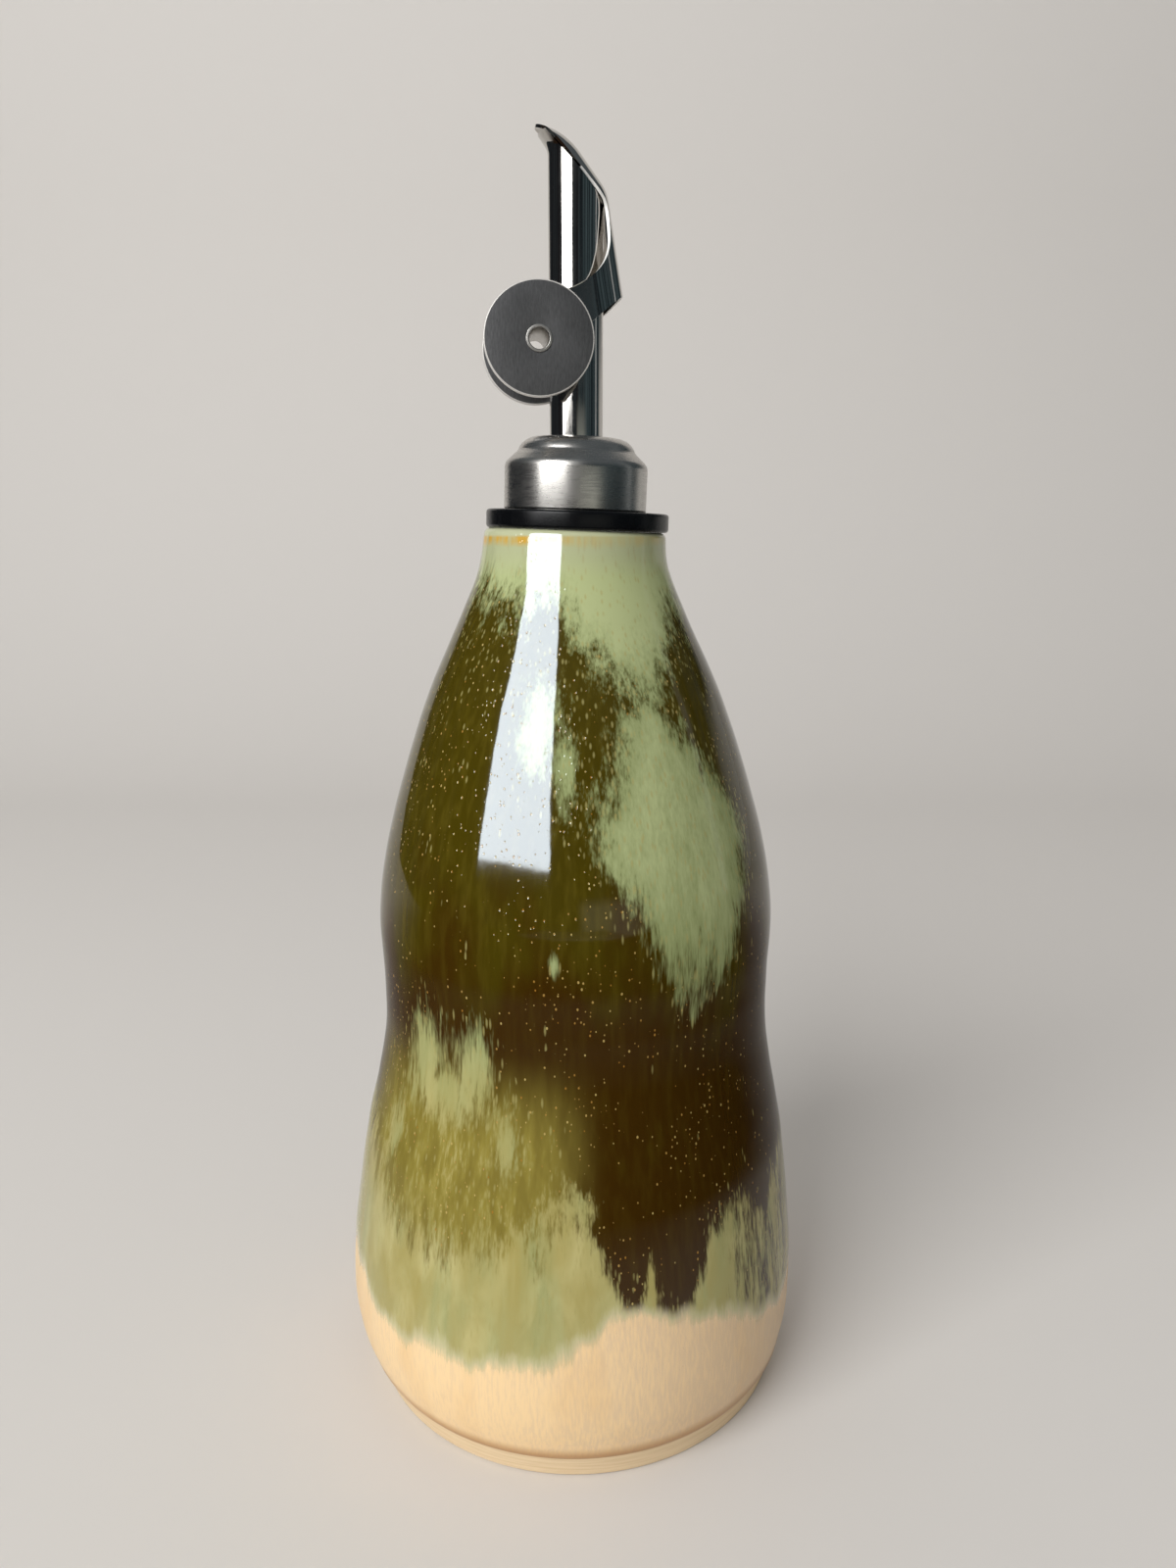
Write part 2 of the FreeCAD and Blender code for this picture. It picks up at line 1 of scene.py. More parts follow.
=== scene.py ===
import math

import bmesh
import bpy
from mathutils import Matrix, Quaternion, Vector, geometry, noise


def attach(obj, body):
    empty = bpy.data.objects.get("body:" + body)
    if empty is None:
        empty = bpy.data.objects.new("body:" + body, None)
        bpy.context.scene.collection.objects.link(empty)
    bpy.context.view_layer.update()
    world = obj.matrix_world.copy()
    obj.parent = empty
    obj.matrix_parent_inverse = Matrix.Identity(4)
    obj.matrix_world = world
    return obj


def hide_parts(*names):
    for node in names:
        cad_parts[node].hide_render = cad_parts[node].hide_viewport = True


# An oil jar: a hand-thrown stoneware bottle with flowing olive and sage glazes, and a steel
# pourer on a rubber collar, whose weighted flap lifts off the spout's mouth as the jar tips.
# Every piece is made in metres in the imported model's own frame.

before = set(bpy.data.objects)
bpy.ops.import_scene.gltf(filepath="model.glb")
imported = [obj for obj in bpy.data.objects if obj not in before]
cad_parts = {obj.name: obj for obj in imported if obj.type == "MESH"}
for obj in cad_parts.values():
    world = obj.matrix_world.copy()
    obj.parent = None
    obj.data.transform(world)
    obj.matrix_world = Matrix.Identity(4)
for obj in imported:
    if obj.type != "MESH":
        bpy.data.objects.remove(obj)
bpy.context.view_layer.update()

MM = 0.001
RIM_HEIGHT = 160.15
RIM_TILT = math.radians(1.9)
POURER_TURN = math.radians(6.0)
POURER_SHIFT = 0.25

bl_info = {
    "name": "Oil jar",
    "version": (1, 0, 0),
    "blender": (4, 5, 0),
    "location": "3D View > Sidebar > Oil jar",
    "description": "Makes the glazed jar, its steel pourer and the studio round them",
    "category": "Object",
}


def to_linear(hex_colour):
    """A hex sRGB colour as the linear red, green, blue and alpha that a socket takes."""
    shares = [int(hex_colour[i:i + 2], 16) / 255 for i in (1, 3, 5)]
    return [s / 12.92 if s <= 0.04045 else ((s + 0.055) / 1.055) ** 2.4 for s in shares] + [1.0]


class GlazeSettings(bpy.types.PropertyGroup):
    """Colours of the jar's glazes and clay, and the marks of the wheel."""

    dark: bpy.props.FloatVectorProperty(
        name="Dark glaze", description="Olive brown glaze on most of the wall",
        subtype="COLOR", size=4, min=0, max=1, default=to_linear("#3e3506"))
    dark_brown: bpy.props.FloatVectorProperty(
        name="Dark glaze, thick", description="The same glaze where it has pooled",
        subtype="COLOR", size=4, min=0, max=1, default=to_linear("#352204"))
    sage: bpy.props.FloatVectorProperty(
        name="Sage glaze", description="Milky green glaze that has run down from the neck",
        subtype="COLOR", size=4, min=0, max=1, default=to_linear("#868f60"))
    sage_pale: bpy.props.FloatVectorProperty(
        name="Sage glaze, pale", description="The same glaze where it is thick and milky",
        subtype="COLOR", size=4, min=0, max=1, default=to_linear("#a6ae7e"))
    sage_warm: bpy.props.FloatVectorProperty(
        name="Sage glaze, low", description="The same glaze low down, over the buff clay",
        subtype="COLOR", size=4, min=0, max=1, default=to_linear("#9d955d"))
    mustard: bpy.props.FloatVectorProperty(
        name="Mustard glaze", description="Thin olive yellow between the dark and the sage",
        subtype="COLOR", size=4, min=0, max=1, default=to_linear("#877b38"))
    peach: bpy.props.FloatVectorProperty(
        name="Peach band", description="Satin peach above the foot",
        subtype="COLOR", size=4, min=0, max=1, default=to_linear("#e9ca9a"))
    # Partly a real pink flash, partly painted shade for the band's darker right side.
    peach_pink_and_shaded: bpy.props.FloatVectorProperty(
        name="Peach band, pinker", description="The same band where it has flashed pink",
        subtype="COLOR", size=4, min=0, max=1, default=to_linear("#d9bd98"))
    clay: bpy.props.FloatVectorProperty(
        name="Bare clay", description="Buff clay of the trimmed foot",
        subtype="COLOR", size=4, min=0, max=1, default=to_linear("#e0c8a2"))
    rust: bpy.props.FloatVectorProperty(
        name="Rust line", description="Iron brown that has gathered in the groove over the foot",
        subtype="COLOR", size=4, min=0, max=1, default=to_linear("#a5743f"))
    amber: bpy.props.FloatVectorProperty(
        name="Amber rim", description="Amber line where the glaze breaks under the collar",
        subtype="COLOR", size=4, min=0, max=1, default=to_linear("#bb953d"))
    throwing_depth: bpy.props.FloatProperty(
        name="Throwing rings", description="Depth of the rings that the potter's fingers leave",
        unit="LENGTH", min=0, max=0.0005, precision=5, default=0.02 * MM)
    glaze_depth: bpy.props.FloatProperty(
        name="Glaze thickness", description="Step down from the glaze to the peach band",
        unit="LENGTH", min=0, max=0.001, precision=5, default=0.12 * MM)


class PourerSettings(bpy.types.PropertyGroup):
    """Sizes and colours of the steel pourer and its rubber collar."""

    steel: bpy.props.FloatVectorProperty(
        name="Steel", description="Stainless steel of the cap, tube and flap",
        subtype="COLOR", size=4, min=0, max=1, default=to_linear("#c9c6c1"))
    weight_steel: bpy.props.FloatVectorProperty(
        name="Weights", description="Darker satin steel of the two weights",
        subtype="COLOR", size=4, min=0, max=1, default=to_linear("#7e7e7f"))
    rubber: bpy.props.FloatVectorProperty(
        name="Rubber", description="Black rubber of the collar",
        subtype="COLOR", size=4, min=0, max=1, default=to_linear("#07080a"))
    collar_radius: bpy.props.FloatProperty(
        name="Collar radius", description="Outer radius of the rubber collar",
        unit="LENGTH", min=0.014, max=0.016, precision=5, default=16.0 * MM)
    cap_radius: bpy.props.FloatProperty(
        name="Cap radius", description="Radius of the cap's straight wall",
        unit="LENGTH", min=0.011, max=0.01245, precision=5, default=12.45 * MM)
    tube_radius: bpy.props.FloatProperty(
        name="Tube radius", description="Outer radius of the pouring tube",
        unit="LENGTH", min=0.004, max=0.0046, precision=5, default=4.6 * MM)
    sheet: bpy.props.FloatProperty(
        name="Sheet thickness", description="Thickness of the flap's sheet and the tube's wall",
        unit="LENGTH", min=0.0003, max=0.0005, precision=5, default=0.5 * MM)
    weight_radius: bpy.props.FloatProperty(
        name="Weight radius", description="Radius of the two round weights",
        unit="LENGTH", min=0.006, max=0.00915, precision=5, default=9.15 * MM)


class StudioSettings(bpy.types.PropertyGroup):
    """The floor, the lamps and the camera."""

    floor: bpy.props.FloatVectorProperty(
        name="Floor", description="Colour of the floor and its sweep",
        subtype="COLOR", size=4, min=0, max=1, default=to_linear("#d6d2cd"))
    window_power: bpy.props.FloatProperty(
        name="Window power", description="Power of the tall soft lamp at the front left",
        unit="POWER", min=0, default=25.0)
    sheen_power: bpy.props.FloatProperty(
        name="Window sheen", description="Power that only glossy reflections of that lamp get",
        unit="POWER", min=0, default=68.0)
    sheen_colour: bpy.props.FloatVectorProperty(
        name="Sheen colour", description="Colour of the light that the wet glass mirrors",
        subtype="COLOR", size=4, min=0, max=1, default=to_linear("#e2f2ff"))
    overhead_power: bpy.props.FloatProperty(
        name="Overhead power", description="Power of the wide lamp overhead",
        unit="POWER", min=0, default=4.0)
    fill: bpy.props.FloatProperty(
        name="Fill", description="Strength of the even light from all round",
        min=0, max=2, default=0.30)
    lens: bpy.props.FloatProperty(
        name="Lens", description="Focal length of the camera",
        subtype="DISTANCE_CAMERA", min=10, max=200, default=25.875)


# Helpers for materials and meshes.

def per_mm(size):
    """The scale of a pattern whose marks are this many millimetres apart."""
    return 1 / (size * MM)


def new_material(name):
    """An empty node material with its output node, and its tree."""
    material = bpy.data.materials.new(name)
    material.use_nodes = True
    material.node_tree.nodes.clear()
    return material, material.node_tree


def add(tree, kind, inputs=None, **settings):
    """Add a node with its settings; an input takes a value, a socket or a node's first output."""
    made = tree.nodes.new(kind)
    for name, setting in settings.items():
        setattr(made, name, setting)
    for key, source in (inputs or {}).items():
        shown = [socket for socket in made.inputs if socket.enabled]
        target = shown[key] if isinstance(key, int) else next(s for s in shown if s.name == key)
        if isinstance(source, bpy.types.Node):
            source = next(socket for socket in source.outputs if socket.enabled)
        if isinstance(source, bpy.types.NodeSocket):
            tree.links.new(source, target)
        else:
            target.default_value = source
    return made


def finish_piece(bm, name, material, body, replaced, sharp=35.0):
    """Make the object from its bmesh in millimetres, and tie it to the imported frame."""
    bmesh.ops.scale(bm, vec=Vector((MM, MM, MM)), verts=bm.verts)
    mesh = bpy.data.meshes.new(name)
    bm.to_mesh(mesh)
    bm.free()
    mesh.polygons.foreach_set("use_smooth", [True] * len(mesh.polygons))
    mesh.set_sharp_from_angle(angle=math.radians(sharp))
    mesh.materials.append(material)
    piece = bpy.data.objects.new(name, mesh)
    bpy.context.scene.collection.objects.link(piece)
    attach(piece, body)
    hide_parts(*replaced)
    return piece


def outline_chain(bm, corners, closed):
    """Lay a chain of edges through (radius, height, bend) corners and round each bend."""
    verts = [bm.verts.new((radius, 0, height)) for radius, height, _ in corners]
    pairs = list(zip(verts, verts[1:])) + ([(verts[-1], verts[0])] if closed else [])
    for pair in pairs:
        bm.edges.new(pair)
    for index, (radius, height, bend) in enumerate(corners):
        if not bend:
            continue
        here = Vector((radius, height))
        before = Vector(corners[index - 1][:2]) - here
        after = Vector(corners[(index + 1) % len(corners)][:2]) - here
        turn = math.pi - before.angle(after)
        bmesh.ops.bevel(bm, geom=[verts[index]], affect="VERTICES", segments=8, profile=0.5,
                        offset=bend * math.tan(turn / 2), offset_type="OFFSET", material=-1)


def turned(corners, closed=False, steps=160):
    """A solid of revolution about Z from its outline, as a bmesh in millimetres."""
    bm = bmesh.new()
    outline_chain(bm, corners, closed)
    bmesh.ops.spin(bm, geom=bm.verts[:] + bm.edges[:], cent=(0, 0, 0), axis=(0, 0, 1),
                   angle=2 * math.pi, steps=steps, use_merge=True)
    bmesh.ops.remove_doubles(bm, verts=bm.verts, dist=1e-4)
    bmesh.ops.recalc_face_normals(bm, faces=bm.faces)
    return bm


def seat_matrix(shift):
    """Place of a piece that lies on the tilted rim, its origin moved sideways by a shift."""
    lift = RIM_HEIGHT - shift * math.tan(RIM_TILT)
    return Matrix.Translation((shift, 0, lift)) @ Matrix.Rotation(RIM_TILT, 4, "Y")


def pourer_matrix():
    """Place of the pourer: on the rim's centre, turned a little away from square."""
    place = Matrix.Translation((POURER_SHIFT, 0, RIM_HEIGHT))
    return place @ Matrix.Rotation(POURER_TURN, 4, "Z")


def across_matrix(centre, turn):
    """Place of a round thing that lies across the flap, at a point of the pourer's plane."""
    place = pourer_matrix() @ Matrix.Translation((centre.x, 0, centre.y))
    return place @ Matrix.Rotation(turn, 4, "X")


def smoothstep(low, high, number):
    """A share that climbs smoothly from 0 at low to 1 at high."""
    share = min(max((number - low) / (high - low), 0), 1)
    return share * share * (3 - 2 * share)


def line_at(line, place):
    """Follow a line of listed (place, value) points, smoothly from point to point."""
    if place <= line[0][0]:
        return line[0][1]
    for (start, first), (end, last) in zip(line, line[1:]):
        if place <= end:
            return first + (last - first) * smoothstep(start, end, place)
    return line[-1][1]


# The jar, in millimetres.

FOOT_TOP = 5.2
RING_PITCH = 7.5
WOBBLE_SIZE, WOBBLE_DEPTH = 17, 0.09
# How soft the sage's edge is: at the neck, at the skirt, more at the skirt's mustard, at a run.
NECK_BLEND, SKIRT_BLEND, MUSTARD_BLEND, RUN_BLEND = 8.0, 5.0, 5.5, 4.5
# The cover is cut off here, well inside and well outside the sage.
FULL_COVER = 1.3

# Rings of the wall: height, radius and drift of the centre to the right.
WALL_RINGS = [
    (FOOT_TOP, 41.35, -0.3), (11, 43.0, -0.7), (18, 43.55, -0.9), (28, 42.95, -0.8),
    (40, 41.5, -0.55), (50, 40.0, -0.33), (60, 37.85, -0.12), (70, 36.3, 0), (80, 36.2, 0),
    (92, 36.6, 0), (104, 34.9, 0), (118, 31.1, -0.05), (132, 26.25, -0.15),
    (146, 19.95, -0.25), (154, 16.75, -0.2), (162, 15.85, 0.1),
]

# Tide lines of the glazes: degrees round the wall (0 at the front, more to the right),
# and height.
NECK_TIDE = [
    (-180, 141), (-160, 134), (-140, 126), (-120, 133), (-100, 146), (-80, 151), (-57, 149.5),
    (-43, 147.5), (-30, 148.5), (-18, 147), (-8, 148), (0, 143), (8, 138.5), (14, 136),
    (20, 133.5), (26, 130.5), (32, 132), (39, 137), (50, 144), (70, 147), (90, 143), (110, 130),
    (125, 119), (140, 124), (160, 138), (180, 141),
]
SKIRT_TIDE = [
    (-180, 52), (-165, 44), (-150, 58), (-135, 63), (-120, 50), (-105, 55), (-92, 62), (-80, 58),
    (-70, 52), (-60, 45.5), (-45, 44), (-30, 42.5), (-18, 45), (-8, 49.5), (-1, 51), (4, 49),
    (8, 43), (11.5, 37), (14.5, 33.6), (16.8, 34.5), (18.7, 40.2), (20.4, 34), (23, 31),
    (27.5, 30.5), (31, 36), (36, 44.8), (42, 46.8), (47, 46), (52, 42), (58, 41), (65, 45),
    (76, 50), (90, 47), (105, 60), (118, 66), (130, 55), (145, 41), (160, 47), (180, 52),
]
HEM_LINE = [
    (-180, 25), (-160, 30), (-140, 27), (-120, 22), (-105, 25), (-90, 27.5), (-64, 26.5),
    (-54, 22.2), (-46, 22.4), (-39, 23.4), (-30, 22.4), (-22, 23), (-13, 23.3), (-6.6, 23.7),
    (-0.5, 26.8), (4, 30), (10.5, 32.2), (17.5, 32.2), (25, 30.1), (33, 28.8), (42, 26),
    (54, 22), (63, 20.5), (80, 23), (100, 28), (120, 31), (140, 26), (160, 22.5), (180, 25),
]
# The broad run of sage down the right of the front: height, its middle and half its width.
RUN_MIDDLE = [(82, 33), (87, 35), (97, 35), (104, 34), (112, 32), (122, 31), (130, 27), (136, 25)]
RUN_WIDTH = [(78, -8), (82, 1), (87, 7), (91, 12), (97, 15.5), (103.5, 20), (109.6, 25.5),
             (114, 26), (119, 21.5), (123, 17.5), (128, 12), (133, 5), (137, -4)]
# A second run on the back, and a broken patch beside each run.
BACK_MIDDLE = [(70, -146), (90, -143), (110, -141), (130, -140)]
BACK_WIDTH = [(68, -8), (74, 3), (84, 10), (96, 17), (108, 22), (118, 20), (128, 17), (140, 12)]
# Loose patches: degrees, height, half width in degrees, half height, and how solid they are.
PATCHES = [
    (-11.5, 130, 6, 7, 0.62), (-2.5, 123.5, 4.5, 7, 0.45), (-44, 72.5, 5.5, 8, 0.62),
    (-27.5, 73.5, 5, 7.5, 0.6), (-37, 67, 15, 5, 0.5), (-5, 93, 1.2, 2, 0.5),
    (88, 73, 7, 12, 0.7), (165, 78, 8, 9, 0.6), (-100, 98, 4, 6, 0.4), (128, 84, 9, 12, 0.5),
    (0.5, 52, 4, 3.5, 0.4), (-55, 56, 3.5, 9, 0.35), (-17, 60, 5, 7, 0.2),
]


def wall_profile():
    """Heights, radii and drifts from the skirt to the rim, smoothed between the rings."""
    count = len(WALL_RINGS)
    slopes = []
    for index in range(count):
        low = WALL_RINGS[max(index - 1, 0)]
        high = WALL_RINGS[min(index + 1, count - 1)]
        slopes.append([(b - a) / (high[0] - low[0]) for a, b in zip(low, high)])
    points = []
    for index in range(count - 1):
        low, high = Vector(WALL_RINGS[index]), Vector(WALL_RINGS[index + 1])
        third = (high[0] - low[0]) / 3
        handles = low + Vector(slopes[index]) * third, high - Vector(slopes[index + 1]) * third
        steps = max(int((high[0] - low[0]) / 0.62), 4)
        points += geometry.interpolate_bezier(low, handles[0], handles[1], high, steps)[:-1]
    return points


def glaze_cover(degrees, height, radius):
    """How far a place is inside the sage glaze: 1 well inside, -1 well outside."""
    side = radius * math.radians(1)
    neck = (height - line_at(NECK_TIDE, degrees)) / NECK_BLEND
    skirt = line_at(SKIRT_TIDE, degrees) - height
    skirt /= SKIRT_BLEND + MUSTARD_BLEND * mustard_share(degrees, height)
    # Right of the front the sage is held thin: partly real dark streaks, partly painted shade.
    streaked_and_shaded = smoothstep(32, 48, degrees) * (1 - smoothstep(70, 90, degrees))
    covers = [neck, min(skirt, FULL_COVER - 1.08 * streaked_and_shaded)]
    for middle, width in ((RUN_MIDDLE, RUN_WIDTH), (BACK_MIDDLE, BACK_WIDTH)):
        away = (degrees - line_at(middle, height) + 180) % 360 - 180
        run = (line_at(width, height) - abs(away)) * side / RUN_BLEND
        covers.append(min(run, 0.05 + 1.25 * smoothstep(84, 106, height)))
    for middle, level, half_width, half_height, solid in PATCHES:
        away = (degrees - middle + 180) % 360 - 180
        reach = math.hypot(away / half_width, (height - level) / half_height)
        covers.append((1 - reach) * 1.1 + solid - 0.6)
    covers.append(0.85 * mustard_share(degrees, height) - FULL_COVER)
    return max(min(max(covers), FULL_COVER), -FULL_COVER)


def mustard_share(degrees, height):
    """How much of the thin mustard glaze shows between the dark wall and the sage skirt."""
    across = smoothstep(-85, -60, degrees) * (1 - smoothstep(-12, 9, degrees))
    across += smoothstep(128, 150, degrees) * (1 - smoothstep(168, 180, degrees))
    upright = smoothstep(30, 44, height) * (1 - smoothstep(60, 78, height))
    return across * upright


def shape_wall(bm, glaze):
    """Let the wall drift and wobble as a thrown pot does, and record where each glaze lies."""
    cover = bm.verts.layers.float.new("sage_cover")
    mustard = bm.verts.layers.float.new("mustard_share")
    hem = bm.verts.layers.float.new("above_hem")
    rings = [(height, drift) for height, _, drift in WALL_RINGS]
    for vert in bm.verts:
        x, y, height = vert.co
        radius = math.hypot(x, y)
        degrees = math.degrees(math.atan2(x, -y))
        wall = radius > 12 and height > 5
        over = height - line_at(HEM_LINE, degrees)
        vert[hem] = max(min(over, 8), -8)
        vert[cover] = glaze_cover(degrees, height, max(radius, 10))
        vert[mustard] = mustard_share(degrees, height)
        drift = line_at(rings, height) if height > FOOT_TOP else rings[0][1] * height / FOOT_TOP
        if wall:
            swell = 0.5 + 0.5 * math.sin(2 * math.pi * (height / RING_PITCH + degrees / 360))
            rough = 0.5 + 0.5 * noise.noise(Vector((x, y, height)) / WOBBLE_SIZE)
            faded = 1 - smoothstep(145, 156, height)
            depth = glaze.throwing_depth / MM * swell * (2 if over < 0 else 1)
            depth += WOBBLE_DEPTH * rough * smoothstep(5.5, 14, height) * faded
            depth += glaze.glaze_depth / MM * (1 - smoothstep(-1.5, 0.5, over))
            depth *= smoothstep(FOOT_TOP, 8, height)
            x -= x / radius * depth
            y -= y / radius * depth
        tilt = x * math.tan(RIM_TILT) * smoothstep(150, RIM_HEIGHT, height)
        vert.co = (x + drift, y, height - tilt)


def glaze_material(glaze):
    """Oatmeal stoneware under two reduction-fired glazes that have run into each other.

    The glass is smooth and deep, so it gives sharp window lights. The sage is milky and breaks
    into fine vertical streaks at its edges, small bubbles burst into pale specks and pinholes,
    the peach band below is thin and satin, and the trimmed foot is bare and matt.
    """
    material, tree = new_material("run_glaze_on_stoneware")
    place = add(tree, "ShaderNodeTexCoord").outputs["Object"]
    axes = add(tree, "ShaderNodeSeparateXYZ", {0: place}).outputs
    across, up = axes["X"], axes["Z"]
    cover, thin, over_hem = [
        add(tree, "ShaderNodeAttribute", attribute_name=name).outputs["Fac"]
        for name in ("sage_cover", "mustard_share", "above_hem")]

    # Glass runs downhill, so every mark is drawn out along the height.
    drawn = add(tree, "ShaderNodeMapping", {"Vector": place, "Scale": (1, 1, 0.12)})
    drawn_less = add(tree, "ShaderNodeMapping", {"Vector": place, "Scale": (1, 1, 0.4)})
    hairs, strands, runs, clouds = [
        add(tree, "ShaderNodeTexNoise", {
            "Vector": stretch, "Scale": per_mm(size), "Detail": detail, "Roughness": rough})
        for stretch, size, detail, rough in (
            (drawn, 0.42, 2.0, 0.6), (drawn, 1.3, 2.0, 0.5), (drawn, 4.0, 2.0, 0.5),
            (drawn_less, 9, 3.0, 0.5))]

    # Shares of the height: where each begins and is full, in millimetres, and its two values.
    sunk, milkier, low, high, breath, lip, foot = [
        add(tree, "ShaderNodeMapRange", {
            "Value": up, "From Min": start * MM, "From Max": end * MM, "To Min": least,
            "To Max": most})
        for start, end, least, most in (
            (122, 72, -0.42, 0.3),  # the dark glaze has pooled low down
            (132, 150, -0.5, 0.4),  # the sage is thickest on the neck
            (84, 56, 0.0, 1.0),  # and warmest low down, over the clay
            (112, 146, 0.0, 0.5),  # rutile rain is denser high up
            (152.5, 157, 0.0, 0.55),  # the grey breath under the collar
            (159.0, 159.4, 0.0, 1.0),  # the pale edge
            (5.15, 4.7, 0.0, 1.0),  # the bare foot
        )]

    # The sage's edge and the hem are combed out by the marks of the glass below them.
    combed = []
    for edge, reaches in (
            (cover, ((hairs, 1.5), (strands, 1.7), (runs, 1.5))),
            (over_hem, ((hairs, 2.4), (strands, 1.6), (clouds, 12.0)))):
        for marks, reach in reaches:
            swing = add(tree, "ShaderNodeMath", {0: marks, 1: -0.5}, operation="ADD")
            edge = add(tree, "ShaderNodeMath", {
                0: swing, 1: reach, 2: edge}, operation="MULTIPLY_ADD")
        combed.append(edge)
    ragged, hem_edge = combed

    # The dark glaze: olive where thin, brown where it has pooled, which is mostly low down.
    pooled = add(tree, "ShaderNodeMath", {0: sunk, 1: clouds}, operation="ADD")
    pooled = add(tree, "ShaderNodeMapRange", {
        "Value": pooled, "From Min": 0.3, "From Max": 0.7}, interpolation_type="SMOOTHSTEP")
    dark = add(tree, "ShaderNodeMix", {
        "Factor": pooled, "A": glaze.dark, "B": glaze.dark_brown}, data_type="RGBA")
    thread = add(tree, "ShaderNodeMapRange", {
        "Value": strands, "From Min": 0.46, "From Max": 0.72, "To Max": 0.26})
    thread = add(tree, "ShaderNodeMath", {
        0: thread, 1: add(tree, "ShaderNodeMapRange", {
            "Value": pooled, "To Min": 1.0, "To Max": 0.35})}, operation="MULTIPLY")
    dark = add(tree, "ShaderNodeMix", {
        "Factor": thread, "A": dark, "B": to_linear("#63571b")}, data_type="RGBA")

    # Mustard glaze, in soft vertical patches.
    patchy = add(tree, "ShaderNodeMath", {0: runs, 1: strands}, operation="ADD")
    patchy = add(tree, "ShaderNodeMapRange", {
        "Value": patchy, "From Min": 0.8, "From Max": 1.15, "To Min": 0.7, "To Max": 1.0})
    patchy = add(tree, "ShaderNodeMath", {0: patchy, 1: thin}, operation="MULTIPLY")

    # The sage glaze: paler where it is thick. Low down, over the buff clay, it is warmer, with
    # tan clouds and pale drips.
    milk = add(tree, "ShaderNodeMapRange", {
        "Value": ragged, "From Min": -0.45, "From Max": 0.6}, interpolation_type="SMOOTHSTEP")
    thick = add(tree, "ShaderNodeMath", {0: clouds, 1: 1.6, 2: ragged}, operation="MULTIPLY_ADD")
    thick = add(tree, "ShaderNodeMath", {0: thick, 1: milkier}, operation="ADD")
    thick = add(tree, "ShaderNodeMapRange", {
        "Value": thick, "From Min": 0.6, "From Max": 2.3})
    sage = add(tree, "ShaderNodeMix", {
        "Factor": thick, "A": glaze.sage, "B": glaze.sage_pale}, data_type="RGBA")
    drips = add(tree, "ShaderNodeTexNoise", {
        "Vector": drawn_less, "Scale": per_mm(5.5), "Detail": 3.0, "Distortion": 0.5})
    for marks, start, end, least, most, colour in (
            (runs, 0.34, 0.6, 0.5, 1.0, glaze.sage_warm),
            (clouds, 0.46, 0.66, 0.0, 0.75, to_linear("#9a8d4e")),
            (drips, 0.44, 0.7, 0.0, 0.5, to_linear("#bfb680"))):
        share = add(tree, "ShaderNodeMapRange", {
            "Value": marks, "From Min": start, "From Max": end, "To Min": least,
            "To Max": most})
        share = add(tree, "ShaderNodeMath", {0: share, 1: low}, operation="MULTIPLY")
        sage = add(tree, "ShaderNodeMix", {
            "Factor": share, "A": sage, "B": colour}, data_type="RGBA")

    # Rutile rain: short pale upright dashes where the sage has almost let go of the wall.
    rain = add(tree, "ShaderNodeTexVoronoi", {
        "Vector": add(tree, "ShaderNodeMapping", {"Vector": place, "Scale": (1, 1, 0.22)}),
        "Scale": per_mm(0.8), "Randomness": 1.0}, feature="F1")
    dash = add(tree, "ShaderNodeMapRange", {
        "Value": rain.outputs["Distance"], "From Min": 0.34, "From Max": 0.14})
    near = add(tree, "ShaderNodeMath", {0: clouds, 1: 2.0, 2: cover}, operation="MULTIPLY_ADD")
    near = add(tree, "ShaderNodeMapRange", {
        "Value": near, "From Min": -0.35, "From Max": 0.85, "To Min": 0.0, "To Max": 0.85})
    near = add(tree, "ShaderNodeMath", {0: near, 1: high}, operation="ADD")
    drop = add(tree, "ShaderNodeMath", {0: rain.outputs["Color"], 1: near}, operation="LESS_THAN")
    dash = add(tree, "ShaderNodeMath", {0: dash, 1: drop}, operation="MULTIPLY")
    dash = add(tree, "ShaderNodeMath", {0: dash, 1: 0.55}, operation="MULTIPLY")

    # Burst bubbles: pale and rusty specks in the dark glass.
    dotted = add(tree, "ShaderNodeMapping", {"Vector": place, "Scale": (1, 1, 0.7)})
    bubbles = add(tree, "ShaderNodeTexVoronoi", {
        "Vector": dotted, "Scale": per_mm(0.8), "Randomness": 1.0}, feature="F1")
    chance = add(tree, "ShaderNodeSeparateXYZ", {0: bubbles.outputs["Color"]})
    size = add(tree, "ShaderNodeMapRange", {
        "Value": chance.outputs["Z"], "To Min": 0.08, "To Max": 0.22})
    dot = add(tree, "ShaderNodeMath", {
        0: size, 1: bubbles.outputs["Distance"]}, operation="SUBTRACT")
    dot = add(tree, "ShaderNodeMapRange", {
        "Value": dot, "From Min": -0.04, "From Max": 0.04})
    crowd = add(tree, "ShaderNodeTexNoise", {
        "Vector": place, "Scale": per_mm(20), "Detail": 1.0})
    crowd = add(tree, "ShaderNodeMapRange", {
        "Value": crowd, "From Min": 0.38, "From Max": 0.6, "To Min": 0.18, "To Max": 1.0})
    kept = add(tree, "ShaderNodeMath", {0: chance, 1: crowd}, operation="LESS_THAN")
    dot = add(tree, "ShaderNodeMath", {0: dot, 1: kept}, operation="MULTIPLY")
    speck_colour = add(tree, "ShaderNodeMix", {
        "Factor": chance.outputs["Y"], "A": to_linear("#b9a565"), "B": to_linear("#946722"),
    }, data_type="RGBA")
    clear = add(tree, "ShaderNodeMath", {0: 1.0, 1: milk}, operation="SUBTRACT")
    speck = add(tree, "ShaderNodeMath", {0: dot, 1: clear}, operation="MULTIPLY")
    speck = add(tree, "ShaderNodeMath", {0: speck, 1: 0.8}, operation="MULTIPLY")

